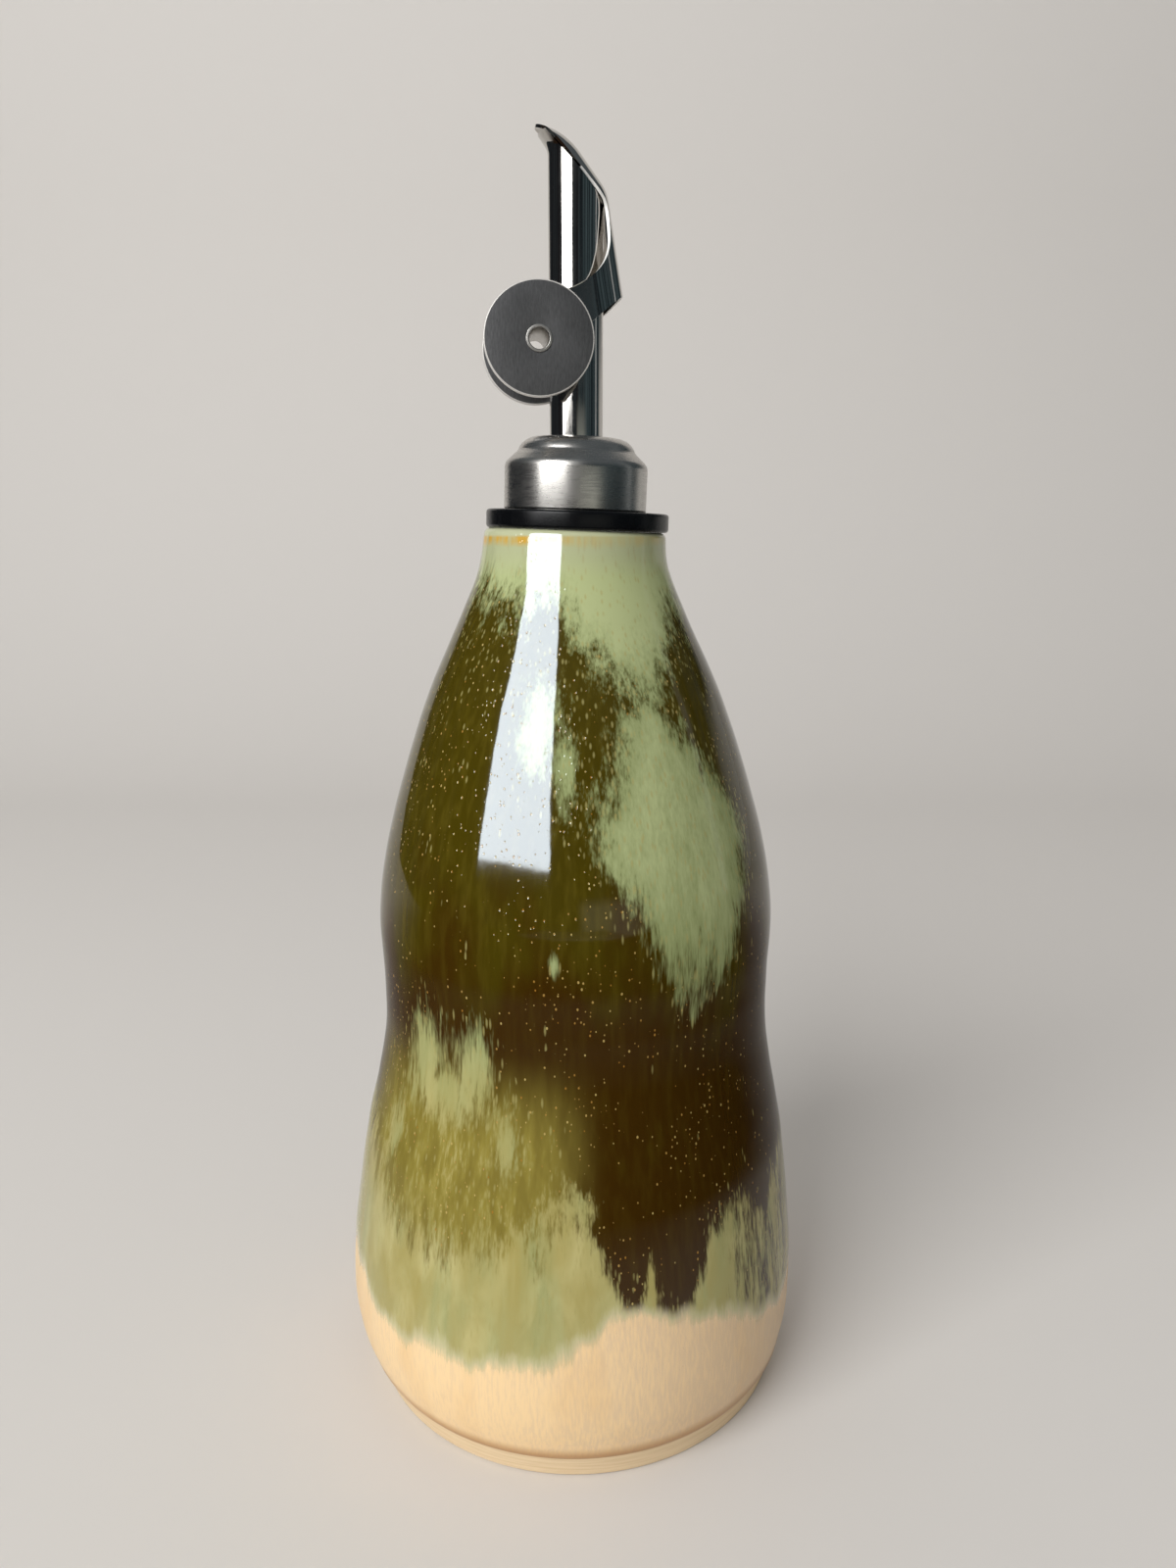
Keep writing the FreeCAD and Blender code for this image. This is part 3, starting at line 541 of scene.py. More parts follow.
    # The amber line under the collar, which wanders and is broken.
    wander = add(tree, "ShaderNodeMath", {
        0: clouds, 1: 2.2 * MM, 2: up}, operation="MULTIPLY_ADD")
    amber = add(tree, "ShaderNodeMapRange", {
        "Value": wander, "From Min": 158.6 * MM, "From Max": 159.6 * MM})
    for source, start, end, first, last in (
            (across, -6 * MM, 2 * MM, 1.0, 0.3), (strands, 0.36, 0.56, 0.3, 1.0)):
        broken = add(tree, "ShaderNodeMapRange", {
            "Value": source, "From Min": start, "From Max": end, "To Min": first,
            "To Max": last})
        amber = add(tree, "ShaderNodeMath", {0: amber, 1: broken}, operation="MULTIPLY")

    # The peach band: a thin satin wash with short upright strokes, pinker and darker to the right.
    # The darker right is partly a real pink flash, partly painted shade away from the window lamp.
    flashed_and_shaded = add(tree, "ShaderNodeMapRange", {
        "Value": across, "From Min": -12 * MM, "From Max": 24 * MM,
        "To Min": 0.1, "To Max": 0.9})
    mottled = add(tree, "ShaderNodeMapRange", {
        "Value": hairs, "From Min": 0.36, "From Max": 0.64, "To Min": -0.4, "To Max": 0.4})
    flashed_and_shaded = add(tree, "ShaderNodeMath", {
        0: flashed_and_shaded, 1: mottled}, operation="ADD", use_clamp=True)
    peach = add(tree, "ShaderNodeMix", {
        "Factor": flashed_and_shaded, "A": glaze.peach, "B": glaze.peach_pink_and_shaded}, data_type="RGBA")
    tan = add(tree, "ShaderNodeMapRange", {
        "Value": clouds, "From Min": 0.5, "From Max": 0.72, "To Max": 0.5})
    peach = add(tree, "ShaderNodeMix", {
        "Factor": tan, "A": peach, "B": to_linear("#d9b27c")}, data_type="RGBA")
    bare = add(tree, "ShaderNodeMapRange", {
        "Value": hem_edge, "From Min": 1.3, "From Max": -1.5}, interpolation_type="SMOOTHSTEP")
    fringe = add(tree, "ShaderNodeMapRange", {
        "Value": hem_edge, "From Min": 3.2, "From Max": 0.2, "To Max": 0.7},
        interpolation_type="SMOOTHSTEP")

    # Rust in the groove over the foot, and the bare clay below it.
    rust = add(tree, "ShaderNodeMapRange", {
        "Value": up, "From Min": 8.5 * MM, "From Max": 5.6 * MM, "To Max": 0.8},
        interpolation_type="SMOOTHSTEP")
    turning = add(tree, "ShaderNodeTexNoise", {
        "Vector": add(tree, "ShaderNodeMapping", {"Vector": place, "Scale": (0.05, 0.05, 1)}),
        "Scale": per_mm(0.5), "Detail": 2.0})
    clay = add(tree, "ShaderNodeMapRange", {
        "Value": turning, "From Min": 0.4, "From Max": 0.7, "To Max": 0.5})
    clay = add(tree, "ShaderNodeMix", {
        "Factor": clay, "A": glaze.clay, "B": to_linear("#c9ad84")}, data_type="RGBA")

    # All of it in the order in which it lies on the pot, over the dark glaze.
    body = dark
    for share, colour in (
            (patchy, glaze.mustard), (milk, sage), (dash, glaze.sage_warm),
            (speck, speck_colour), (breath, to_linear("#a3a589")), (amber, glaze.amber),
            (lip, to_linear("#aeb18f")), (fringe, to_linear("#c3bb98")), (bare, peach),
            (rust, glaze.rust), (foot, clay)):
        body = add(tree, "ShaderNodeMix", {
            "Factor": share, "A": body, "B": colour}, data_type="RGBA")

    # Gloss: wet glass above the hem, satin peach, dry clay.
    gloss = add(tree, "ShaderNodeMapRange", {
        "Value": bare, "To Min": 0.055, "To Max": 0.36})
    gloss = add(tree, "ShaderNodeMapRange", {
        "Value": foot, "To Min": gloss, "To Max": 0.8})

    # Skin of the glass: pinholes at the specks, a faint ripple, and grain on the satin clay.
    pits = add(tree, "ShaderNodeBump", {
        "Height": dot, "Strength": 0.6, "Distance": 0.03 * MM}, invert=True)
    ripple = add(tree, "ShaderNodeTexNoise", {
        "Vector": drawn_less, "Scale": per_mm(3.0), "Detail": 2.0})
    skin = add(tree, "ShaderNodeBump", {
        "Height": ripple, "Strength": 0.5, "Distance": 0.03 * MM, "Normal": pits})
    grain = add(tree, "ShaderNodeTexNoise", {
        "Vector": place, "Scale": per_mm(0.35), "Detail": 3.0})
    grain = add(tree, "ShaderNodeMath", {0: grain, 1: bare}, operation="MULTIPLY")
    skin = add(tree, "ShaderNodeBump", {
        "Height": grain, "Strength": 0.35, "Distance": 0.05 * MM, "Normal": skin})
    shader = add(tree, "ShaderNodeBsdfPrincipled", {
        "Base Color": body, "Roughness": gloss, "IOR": 1.43, "Normal": skin})
    add(tree, "ShaderNodeOutputMaterial", {"Surface": shader})
    return material


class OILJAR_OT_jar(bpy.types.Operator):
    """Throw the jar: a turned wall on a trimmed foot, with its run glazes"""

    bl_idname = "oiljar.jar"
    bl_label = "Jar"

    def execute(self, context):
        glaze = context.scene.oil_jar_glaze
        corners = [(0, 0, 0), (20, 0, 0), (39.2, 0, 0.8), (40.62, 5.05, 0.12),
                   (41.1, FOOT_TOP, 0.2)]
        for height, radius, _ in wall_profile():
            if 5.25 < height < RIM_HEIGHT - 1.3:
                corners.append((radius - 0.03, height, 0))
        corners += [(15.9, RIM_HEIGHT, 1.1), (12.5, RIM_HEIGHT, 0), (0, RIM_HEIGHT, 0)]
        bm = turned(corners, steps=288)
        shape_wall(bm, glaze)
        finish_piece(bm, "stoneware_jar", glaze_material(glaze), "jar_body",
                     ["jar"])
        return {"FINISHED"}


# The pourer, in millimetres.

COLLAR_SHIFT, COLLAR_TOP, CAP_SHIFT = 0.4, 3.2, -0.1
CAP_TOP, SOCKET_FLOOR, SOCKET_RADIUS = 15.5, 8.0, 4.63
MOUTH_LEAN, MOUTH_HEIGHT = math.radians(47.7), 57.4


def rubber_material(pourer):
    """Black nitrile rubber, moulded: a dull sheen that brightens along rounded edges."""
    material, tree = new_material("black_rubber")
    place = add(tree, "ShaderNodeTexCoord").outputs["Object"]
    bloom = add(tree, "ShaderNodeTexNoise", {
        "Vector": place, "Scale": per_mm(2.5), "Detail": 4.0})
    dusty = add(tree, "ShaderNodeMapRange", {
        "Value": bloom, "From Min": 0.4, "From Max": 0.75})
    colour = add(tree, "ShaderNodeMix", {
        "Factor": dusty, "A": pourer.rubber, "B": to_linear("#0b0c0e")}, data_type="RGBA")
    rough = add(tree, "ShaderNodeMapRange", {"Value": bloom, "To Min": 0.2, "To Max": 0.34})
    grain = add(tree, "ShaderNodeTexNoise", {
        "Vector": place, "Scale": per_mm(0.3), "Detail": 2.0})
    skin = add(tree, "ShaderNodeBump", {
        "Height": grain, "Strength": 0.25, "Distance": 0.03 * MM})
    shader = add(tree, "ShaderNodeBsdfPrincipled", {
        "Base Color": colour, "Roughness": rough, "IOR": 1.33, "Normal": skin})
    add(tree, "ShaderNodeOutputMaterial", {"Surface": shader})
    return material


def steel_material(name, colour, dull, polished, grain_size, stretch, depth, mottle=0.28,
                   rim=None):
    """Stainless steel, with the grain that its finishing leaves.

    Grain is a fine noise stretched along the direction of polishing. It shades the metal a
    little and varies its gloss between dull and polished; a wide smear stands for fingering.
    Sheared edges of sheet, where the piece has them, are duller, and painted pale and barely
    metallic as a painted highlight. A round piece may have a turned rim, duller too and painted
    pale all round as a painted highlight: its centre, its radius and its colour.
    """
    material, tree = new_material(name)
    place = add(tree, "ShaderNodeTexCoord").outputs["Object"]
    along = add(tree, "ShaderNodeMapping", {"Vector": place, "Scale": stretch})
    lines = add(tree, "ShaderNodeTexNoise", {
        "Vector": along, "Scale": per_mm(grain_size), "Detail": 3.0, "Roughness": 0.65})
    smear = add(tree, "ShaderNodeTexNoise", {
        "Vector": place, "Scale": per_mm(5.0), "Detail": 3.0})
    blend = add(tree, "ShaderNodeMath", {0: lines, 1: smear}, operation="ADD")
    rough = add(tree, "ShaderNodeMapRange", {
        "Value": blend, "From Min": 0.7, "From Max": 1.3, "To Min": polished, "To Max": dull})
    tone = add(tree, "ShaderNodeMapRange", {
        "Value": lines, "From Min": 0.3, "From Max": 0.7, "To Max": mottle})
    shade = [share * 0.62 for share in colour[:3]] + [1.0]
    tint = add(tree, "ShaderNodeMix", {
        "Factor": tone, "A": colour, "B": shade}, data_type="RGBA")
    # Painted highlight: cut edges are painted near white and barely metallic, a bright line under
    # any lamp.
    sheared_and_highlit = add(tree, "ShaderNodeAttribute", attribute_name="cut_edge").outputs["Fac"]
    tint = add(tree, "ShaderNodeMix", {
        "Factor": sheared_and_highlit, "A": tint, "B": to_linear("#efeeea")}, data_type="RGBA")
    rough = add(tree, "ShaderNodeMapRange", {"Value": sheared_and_highlit, "To Min": rough, "To Max": 0.42})
    dull_and_highlit_edge = sheared_and_highlit
    if rim:
        centre, radius, bright = rim
        away = add(tree, "ShaderNodeVectorMath", {0: place, 1: centre}, operation="SUBTRACT")
        away = add(tree, "ShaderNodeMapping", {
            "Vector": away, "Rotation": (0, 0, -POURER_TURN)})
        away = add(tree, "ShaderNodeVectorMath", {0: away, 1: (1, 0, 1)}, operation="MULTIPLY")
        away = add(tree, "ShaderNodeVectorMath", {0: away}, operation="LENGTH").outputs["Value"]
        # Painted highlight: the weight's outer ring is painted pale and barely metallic, for the
        # glint on its rim.
        turned_and_highlit_edge = add(tree, "ShaderNodeMapRange", {
            "Value": away, "From Min": (radius - 0.25) * MM, "From Max": (radius - 0.18) * MM})
        tint = add(tree, "ShaderNodeMix", {
            "Factor": turned_and_highlit_edge, "A": tint, "B": bright}, data_type="RGBA")
        rough = add(tree, "ShaderNodeMapRange", {
            "Value": turned_and_highlit_edge, "To Min": rough, "To Max": 0.3})
        dull_and_highlit_edge = turned_and_highlit_edge
    skin = add(tree, "ShaderNodeBump", {
        "Height": lines, "Strength": 0.5, "Distance": depth * MM})
    metal = add(tree, "ShaderNodeMapRange", {"Value": dull_and_highlit_edge, "To Min": 1.0, "To Max": 0.2})
    shader = add(tree, "ShaderNodeBsdfPrincipled", {
        "Base Color": tint, "Metallic": metal, "Roughness": rough, "Normal": skin})
    add(tree, "ShaderNodeOutputMaterial", {"Surface": shader})
    return material


def polished_steel(pourer, name):
    """Drawn stainless tube and sheet, buffed: near a mirror, with hairline scratches."""
    return steel_material(name, pourer.steel, 0.13, 0.04, 0.16, (1, 1, 0.03), 0.0012)


class OILJAR_OT_collar(bpy.types.Operator):
    """Mould the rubber collar that lies on the jar's rim"""

    bl_idname = "oiljar.collar"
    bl_label = "Collar"

    def execute(self, context):
        pourer = context.scene.oil_jar_pourer
        radius = pourer.collar_radius / MM
        corners = [(0, 0.02, 0), (radius - 3, 0.02, 0), (radius, 0.02, 0.6),
                   (radius, COLLAR_TOP, 0.6), (12.9, COLLAR_TOP, 0), (12.7, 3.12, 0),
                   (0, 3.12, 0)]
        bm = turned(corners)
        bmesh.ops.transform(bm, matrix=seat_matrix(COLLAR_SHIFT), verts=bm.verts)
        finish_piece(bm, "rubber_collar", rubber_material(pourer), "jar_body",
                     ["collar"], sharp=50)
        return {"FINISHED"}


class OILJAR_OT_cap(bpy.types.Operator):
    """Draw the steel cap: a hem, a straight wall, a cone, a crease and a low dome"""

    bl_idname = "oiljar.cap"
    bl_label = "Cap"

    def execute(self, context):
        pourer = context.scene.oil_jar_pourer
        radius = pourer.cap_radius / MM
        corners = [
            (0, COLLAR_TOP, 0), (11.2, COLLAR_TOP, 0), (radius, COLLAR_TOP, 0.45),
            (radius, 11.08, 1.7),
            (10.4, 13.0, 0.25), (10.15, 13.3, 0.2), (9.25, CAP_TOP, 3.0), (5.4, CAP_TOP, 0),
            (SOCKET_RADIUS + 0.25, 15.47, 0.2), (SOCKET_RADIUS, 15.2, 0),
            (SOCKET_RADIUS, SOCKET_FLOOR, 0), (0, SOCKET_FLOOR, 0),
        ]
        bm = turned(corners, steps=192)
        place = seat_matrix(CAP_SHIFT)
        bmesh.ops.transform(bm, matrix=place, verts=bm.verts)
        # The tube stands upright in the tilted cap, so its socket is set upright too.
        bottom, top = [place @ Vector((0, 0, level)) for level in (SOCKET_FLOOR, CAP_TOP)]
        for vert in bm.verts:
            share = (vert.co.z - bottom.z) / (top.z - bottom.z)
            centre = bottom.lerp(top, share)
            away = math.hypot(vert.co.x - centre.x, vert.co.y)
            if share > -0.1 and away < SOCKET_RADIUS + 0.4:
                vert.co.x += POURER_SHIFT - centre.x
        material = steel_material("brushed_cap_steel", pourer.steel, 0.33, 0.21, 0.14,
                                  (0.05, 0.05, 1), 0.006)
        finish_piece(bm, "steel_cap", material, "jar_body", ["cap"], sharp=28)
        return {"FINISHED"}


class OILJAR_OT_spout(bpy.types.Operator):
    """Draw the pouring tube, flare its lip and cut its mouth on the slant"""

    bl_idname = "oiljar.spout"
    bl_label = "Pouring tube"

    def execute(self, context):
        pourer = context.scene.oil_jar_pourer
        outer = pourer.tube_radius / MM
        inner = outer - pourer.sheet / MM
        corners = [
            (inner, SOCKET_FLOOR, 0), (outer, SOCKET_FLOOR, 0), (outer, 30, 0), (outer, 50, 0),
            (outer, 60.925, 3.0), (outer + 1.58, 63.1, 0), (inner + 1.675, 63.394, 0),
            (inner, 61.087, 3.5), (inner, 50, 0), (inner, 30, 0),
        ]
        bm = turned(corners, closed=True, steps=192)
        cut = bmesh.ops.bisect_plane(
            bm, geom=bm.verts[:] + bm.edges[:] + bm.faces[:], dist=1e-5,
            plane_co=(0, 0, MOUTH_HEIGHT),
            plane_no=(math.sin(MOUTH_LEAN), 0, math.cos(MOUTH_LEAN)), clear_outer=True)
        rim = [edge for edge in cut["geom_cut"] if isinstance(edge, bmesh.types.BMEdge)]
        bmesh.ops.contextual_create(bm, geom=rim)
        bmesh.ops.recalc_face_normals(bm, faces=bm.faces)
        bmesh.ops.transform(bm, matrix=pourer_matrix(), verts=bm.verts)
        finish_piece(bm, "pouring_tube", polished_steel(pourer, "polished_tube_steel"),
                     "jar_body", ["spout"])
        return {"FINISHED"}


# The flap, in the pourer's own plane: across the tube and up from the rim, in millimetres.
HEEL = Vector((7.95, 38.45))
PIVOT = Vector((0, 35.7))
BOSS = Vector((-6.7, 30.7))
BOSS_RADIUS = 3.4
FLAP_RADIUS = 5.4
BACK_LEAN, LID_LEAN, TIP_LEAN = math.radians(9.6), math.radians(38), math.radians(80)
# Stretches of the back line: its length, the lean it starts with and the lean it ends with.
STRETCHES = [
    (14.76, BACK_LEAN, BACK_LEAN), (6.5 * (LID_LEAN - BACK_LEAN), BACK_LEAN, LID_LEAN),
    (5.76, LID_LEAN, LID_LEAN), (10.58 * (TIP_LEAN - LID_LEAN), LID_LEAN, TIP_LEAN),
    (1.4, TIP_LEAN, TIP_LEAN),
]
LID_GAP = 0.17
MOUTH_SLOPE = math.tan(MOUTH_LEAN)
LID_LIFT = MOUTH_HEIGHT + LID_GAP / math.cos(MOUTH_LEAN)
LID_END = Vector((4.1, 53.147))
WAIST = Vector((5.45, 47.0))
NOSE_UNDERSIDE = 63.55
# The lid narrows to a round nose: how far it reaches, the length and half width of the oval
# that its edge follows, and the share of that length, from the oval's middle, where it starts.
NOSE_REACH, NOSE_LENGTH, NOSE_HALF_WIDTH, NOSE_START = 6.6, 1.9, 2.0, 0.18
# The share of the sheet's rows that goes to the arms, and the arc of their edge round the boss,
# in degrees.
ARM_ROWS = 0.45
BOSS_ARC = 127.1, 309.7
PIVOT_HOLE, RIVET_HOLE, HOLE_LENGTH = 1.05, 2.0, 14
# The weights: their bore, and how far their two faces are from the flap's middle.
WEIGHT_BORE, WEIGHT_BACK, WEIGHT_FRONT = 2.02, 5.4, 6.9


def back_line(run):
    """Point, inward direction and lean of the flap's back line, a length up from its heel."""
    point = HEEL.copy()
    for length, first, last in STRETCHES:
        part = min(run, length)
        lean = first + (last - first) * part / length
        if last > first:
            bend = length / (last - first)
            point += Vector((bend * (math.cos(lean) - math.cos(first)),
                             bend * (math.sin(lean) - math.sin(first))))
        else:
            point += Vector((-math.sin(first), math.cos(first))) * part
        run -= part
        if run <= 0:
            break
    return point, Vector((-math.cos(lean), -math.sin(lean)))


def under_lid(point):
    """Whether a point in the pourer's plane is below the lid's underside.

    Over the tube the underside follows the slanted mouth. Behind it the edge swings down to
    the waist, where only a narrow strip is left along the back line.
    """
    if point.x > WAIST.x:
        return False
    lid = LID_LIFT - MOUTH_SLOPE * min(point.x, LID_END.x)
    if point.x > LID_END.x:
        across = (point.x - LID_END.x) / (WAIST.x - LID_END.x)
        lid = WAIST.y + (LID_END.y - WAIST.y) * (1 - across ** 1.3) ** 0.6
    return point.y < min(lid, NOSE_UNDERSIDE)


def lid_turn(run, sheet, ease):
    """Half the angle that the lid's channel wraps round, a length up the back line."""
    start, inward = back_line(run)
    low, high = 0.0, math.pi / 2
    for _ in range(30):
        turn = (low + high) / 2
        depth = FLAP_RADIUS - (FLAP_RADIUS - sheet * ease) * math.cos(turn)
        beside = start + inward * FLAP_RADIUS * (1 - math.cos(turn))
        past = min((beside.x + NOSE_REACH) / NOSE_LENGTH - 1, 0)
        width = NOSE_HALF_WIDTH * math.sqrt(max(1 - past ** 2, 0))
        outside = past < -NOSE_START and FLAP_RADIUS * math.sin(turn) > width
        if outside or under_lid(start + inward * depth):
            high = turn
        else:
            low = turn
    return low


def edge_below(share):
    """The arms' edge from the waist down and round the boss, as share goes from 0 to 1."""
    pieces = geometry.interpolate_bezier(WAIST, (5.3, 43.0), (2.6, 40.2), (-1.9, 38.6), 24)
    for step in range(25):
        turn = math.radians(BOSS_ARC[0] + (BOSS_ARC[1] - BOSS_ARC[0]) * step / 24)
        pieces.append(BOSS + Vector((math.cos(turn), math.sin(turn))) * BOSS_RADIUS)
    lengths = [(b - a).length for a, b in zip(pieces, pieces[1:])]
    left = share * sum(lengths)
    for (a, b), length in zip(zip(pieces, pieces[1:]), lengths):
        if left <= length:
            return a.lerp(b, left / length)
        left -= length
    return pieces[-1]


def across_channel(reach):
    """Depth in from the back line and distance to the side, for a reach round the channel."""
    quarter = FLAP_RADIUS * math.pi / 2
    if reach < quarter:
        turn = reach / FLAP_RADIUS
        return FLAP_RADIUS * (1 - math.cos(turn)), FLAP_RADIUS * math.sin(turn)
    return FLAP_RADIUS + reach - quarter, FLAP_RADIUS


def bend_flap(bm, sheet):
    """Bend a flat grid into the flap: arms in its lower rows, the lid in its upper rows."""
    corner_run = (WAIST - HEEL).dot(Vector((-math.sin(BACK_LEAN), math.cos(BACK_LEAN))))
    full = sum(length for length, _, _ in STRETCHES)
    tip, _ = back_line(full)
    nose_run = full - (-NOSE_REACH - tip.x) / math.sin(TIP_LEAN)
    inward = Vector((-math.cos(BACK_LEAN), -math.sin(BACK_LEAN)))
    rows = {}
    for vert in bm.verts:
        side, row = vert.co.x, round((vert.co.y + 1) / 2, 6)
        if row not in rows:
            if row < ARM_ROWS:
                share = 1 - row / ARM_ROWS
                start, _ = back_line(corner_run * (1 - share) ** 1.5)
                end = edge_below(share)
                depth = (end - HEEL).dot(inward)
                if depth < FLAP_RADIUS:
                    reach = FLAP_RADIUS * math.acos(1 - depth / FLAP_RADIUS)
                else:
                    reach = FLAP_RADIUS * (math.pi / 2 - 1) + depth
                rows[row] = start, (end - start) / depth, reach
            else:
                share = math.sin((row - ARM_ROWS) / (1 - ARM_ROWS) * math.pi / 2)
                run = corner_run + (nose_run - corner_run) * share
                turn = lid_turn(run, sheet, smoothstep(0, 0.3, share))
                start, direction = back_line(run)
                rows[row] = start, direction, FLAP_RADIUS * turn
        start, direction, reach = rows[row]
        depth, beside = across_channel(abs(side) * reach)
        flat = start + direction * depth
        vert.co = (flat.x, math.copysign(beside, side), flat.y)


def drill(piece, radius_at):
    """Cut round holes through both arms with a boolean, and keep the result."""
    cutters = bmesh.new()
    for centre, radius in radius_at:
        bmesh.ops.create_cone(cutters, cap_ends=True, segments=64, radius1=radius, radius2=radius,
                              depth=HOLE_LENGTH, matrix=across_matrix(centre, math.pi / 2))
    bmesh.ops.scale(cutters, vec=Vector((MM, MM, MM)), verts=cutters.verts)
    mesh = bpy.data.meshes.new("hole_cutters")
    cutters.to_mesh(mesh)
    cutters.free()
    tool = bpy.data.objects.new("hole_cutters", mesh)
    bpy.context.scene.collection.objects.link(tool)
    holes = piece.modifiers.new("holes", "BOOLEAN")
    holes.operation = "DIFFERENCE"
    holes.solver = "EXACT"
    holes.object = tool
    graph = bpy.context.evaluated_depsgraph_get()
    cut = bpy.data.meshes.new_from_object(piece.evaluated_get(graph))
    piece.modifiers.remove(holes)
    bpy.data.objects.remove(tool)
    piece.data = cut
    cut.set_sharp_from_angle(angle=math.radians(35))


class OILJAR_OT_flap(bpy.types.Operator):
    """Bend the flap from one sheet: two arms, a channel round the tube and a lid over its mouth"""

    bl_idname = "oiljar.flap"
    bl_label = "Flap"

    def execute(self, context):
        pourer = context.scene.oil_jar_pourer
        sheet = pourer.sheet / MM
        bm = bmesh.new()
        bmesh.ops.create_grid(bm, x_segments=72, y_segments=160, size=1)
        bend_flap(bm, sheet)
        bmesh.ops.remove_doubles(bm, verts=bm.verts, dist=1e-4)
        bmesh.ops.recalc_face_normals(bm, faces=bm.faces)
        back = max(bm.faces, key=lambda face: face.calc_center_median().x)
        if back.normal.x < 0:
            bmesh.ops.reverse_faces(bm, faces=bm.faces)
        bmesh.ops.solidify(bm, geom=bm.faces[:], thickness=sheet)
        # Faces of the sheet's cut edges, which the steel paints pale as a painted highlight.
        cut_edge = bm.faces.layers.float.new("cut_edge")
        for face in bm.faces:
            creases = sum(edge.calc_face_angle(0) > math.radians(60) for edge in face.edges)
            face[cut_edge] = float(creases > 1 and face.calc_center_median().x > 0.5)
        bmesh.ops.transform(bm, matrix=pourer_matrix(), verts=bm.verts)
        flap = finish_piece(bm, "pour_flap", polished_steel(pourer, "polished_flap_steel"),
                            "flap_body", ["flap"])
        drill(flap, [(PIVOT, PIVOT_HOLE), (BOSS, RIVET_HOLE)])
        return {"FINISHED"}


class OILJAR_OT_weights(bpy.types.Operator):
    """Turn the two round weights that close the flap"""

    bl_idname = "oiljar.weights"
    bl_label = "Weights"

    def execute(self, context):
        pourer = context.scene.oil_jar_pourer
        radius = pourer.weight_radius / MM
        centre = (pourer_matrix() @ Vector((BOSS.x, 0, BOSS.y))) * MM
        # Its grain is drawn about twice as coarse as real, so that it shows.
        # Its outer ring is painted pale as a painted highlight, for the glint on the rounded edge.
        material = steel_material("satin_weight_steel", pourer.weight_steel, 0.46, 0.36, 0.3,
                                  (1, 1, 0.25), 0.03, mottle=1.0,
                                  rim=(centre, radius, pourer.steel))
        for name, side in (("near", -1), ("far", 1)):
            corners = [(WEIGHT_BORE, WEIGHT_BACK, 0), (radius, WEIGHT_BACK, 0.2),
                       (radius, WEIGHT_FRONT, 0.2), (WEIGHT_BORE, WEIGHT_FRONT, 0.05)]
            bm = turned(corners, closed=True, steps=128)
            place = across_matrix(BOSS, -side * math.pi / 2)
            bmesh.ops.transform(bm, matrix=place, verts=bm.verts)
            finish_piece(bm, f"{name}_weight", material, "flap_body",
                         [f"weight_{name}"], sharp=20)
        return {"FINISHED"}


class OILJAR_OT_rivets(bpy.types.Operator):
    """Make the hollow rivet through the weights, and finish the two pivot rivets"""

    bl_idname = "oiljar.rivets"
    bl_label = "Rivets"

    def execute(self, context):
        pourer = context.scene.oil_jar_pourer
        material = steel_material("bright_rivet_steel", pourer.steel, 0.42, 0.28, 0.2,
                                  (1, 1, 1), 0.002)
        end = [(RIVET_HOLE, WEIGHT_FRONT, 0), (2.14, 6.93, 0), (2.2, 7.06, 0.06),
               (1.78, 7.1, 0.08), (1.65, 6.86, 0)]
        corners = [(out, -along, bend) for out, along, bend in reversed(end)] + end
        bm = turned(corners, closed=True, steps=96)
        bmesh.ops.transform(bm, matrix=across_matrix(BOSS, math.pi / 2), verts=bm.verts)
        finish_piece(bm, "hollow_rivet", material, "flap_body", ["sleeve"])
        for name in ("rivet_near", "rivet_far"):
            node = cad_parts[name]
            node.data.materials.clear()
            node.data.materials.append(material)
        return {"FINISHED"}


# The studio, in metres.

FLOOR_HALF_WIDTH, FLOOR_FRONT, FLOOR_BACK, FLOOR_TOP, FLOOR_BEND = 0.75, -2.5, 0.9, 1.6, 0.45
FLAG_HALF_WIDTH, FLAG_LIFT = 1.2, 0.5 * MM
# The window: its size, how far off, how high, and how far it is turned to the left and rolled.
WINDOW_SIZE, WINDOW_AWAY, WINDOW_HEIGHT = (0.95, 1.2), 1.2, 0.9
WINDOW_TURN, WINDOW_ROLL = math.radians(38), math.radians(4.2)
SHEEN_AHEAD = 0.02
OVERHEAD_SIZE, OVERHEAD_HEIGHT = (1.4, 1.4), 1.8
CAMERA_PLACE = 2.3 * MM, -203.7 * MM, RIM_HEIGHT * MM
CAMERA_TIP = 12.69
# What the steel and the glass mirror in the room: the colour and strength of each part, and
# where it fades in or out along an axis of the view, from the first number to the second.
EVEN, SOFT = "LINEAR", "SMOOTHSTEP"
MIRRORED = [
    # A pale strip at the right, a low card before the jar, a side wall, the ceiling, and the
    # backdrop behind the jar.
    ("#c9cccd", 0.8, [("Y", 0.02, 0.05, EVEN), ("Y", 0.14, 0.11, EVEN), ("X", 0.1, 0.55, EVEN)]),
    ("#cfd1c7", 1.0, [("Z", 0.1, 0.04, EVEN), ("X", 0.02, 0.12, EVEN), ("X", 0.75, 0.5, EVEN),
                      ("Y", -0.4, -0.65, EVEN)]),
    ("#d6d3ce", 0.8, [("Y", 0.3, 0.6, SOFT), ("Z", 0.2, 0.1, EVEN), ("X", 0.1, 0.55, EVEN)]),
    ("#5b6165", 1.0, [("Z", 0.3, 0.75, EVEN)]),
    ("#d6d3ce", 1.0, [("Y", 0.68, 0.95, SOFT)]),
]


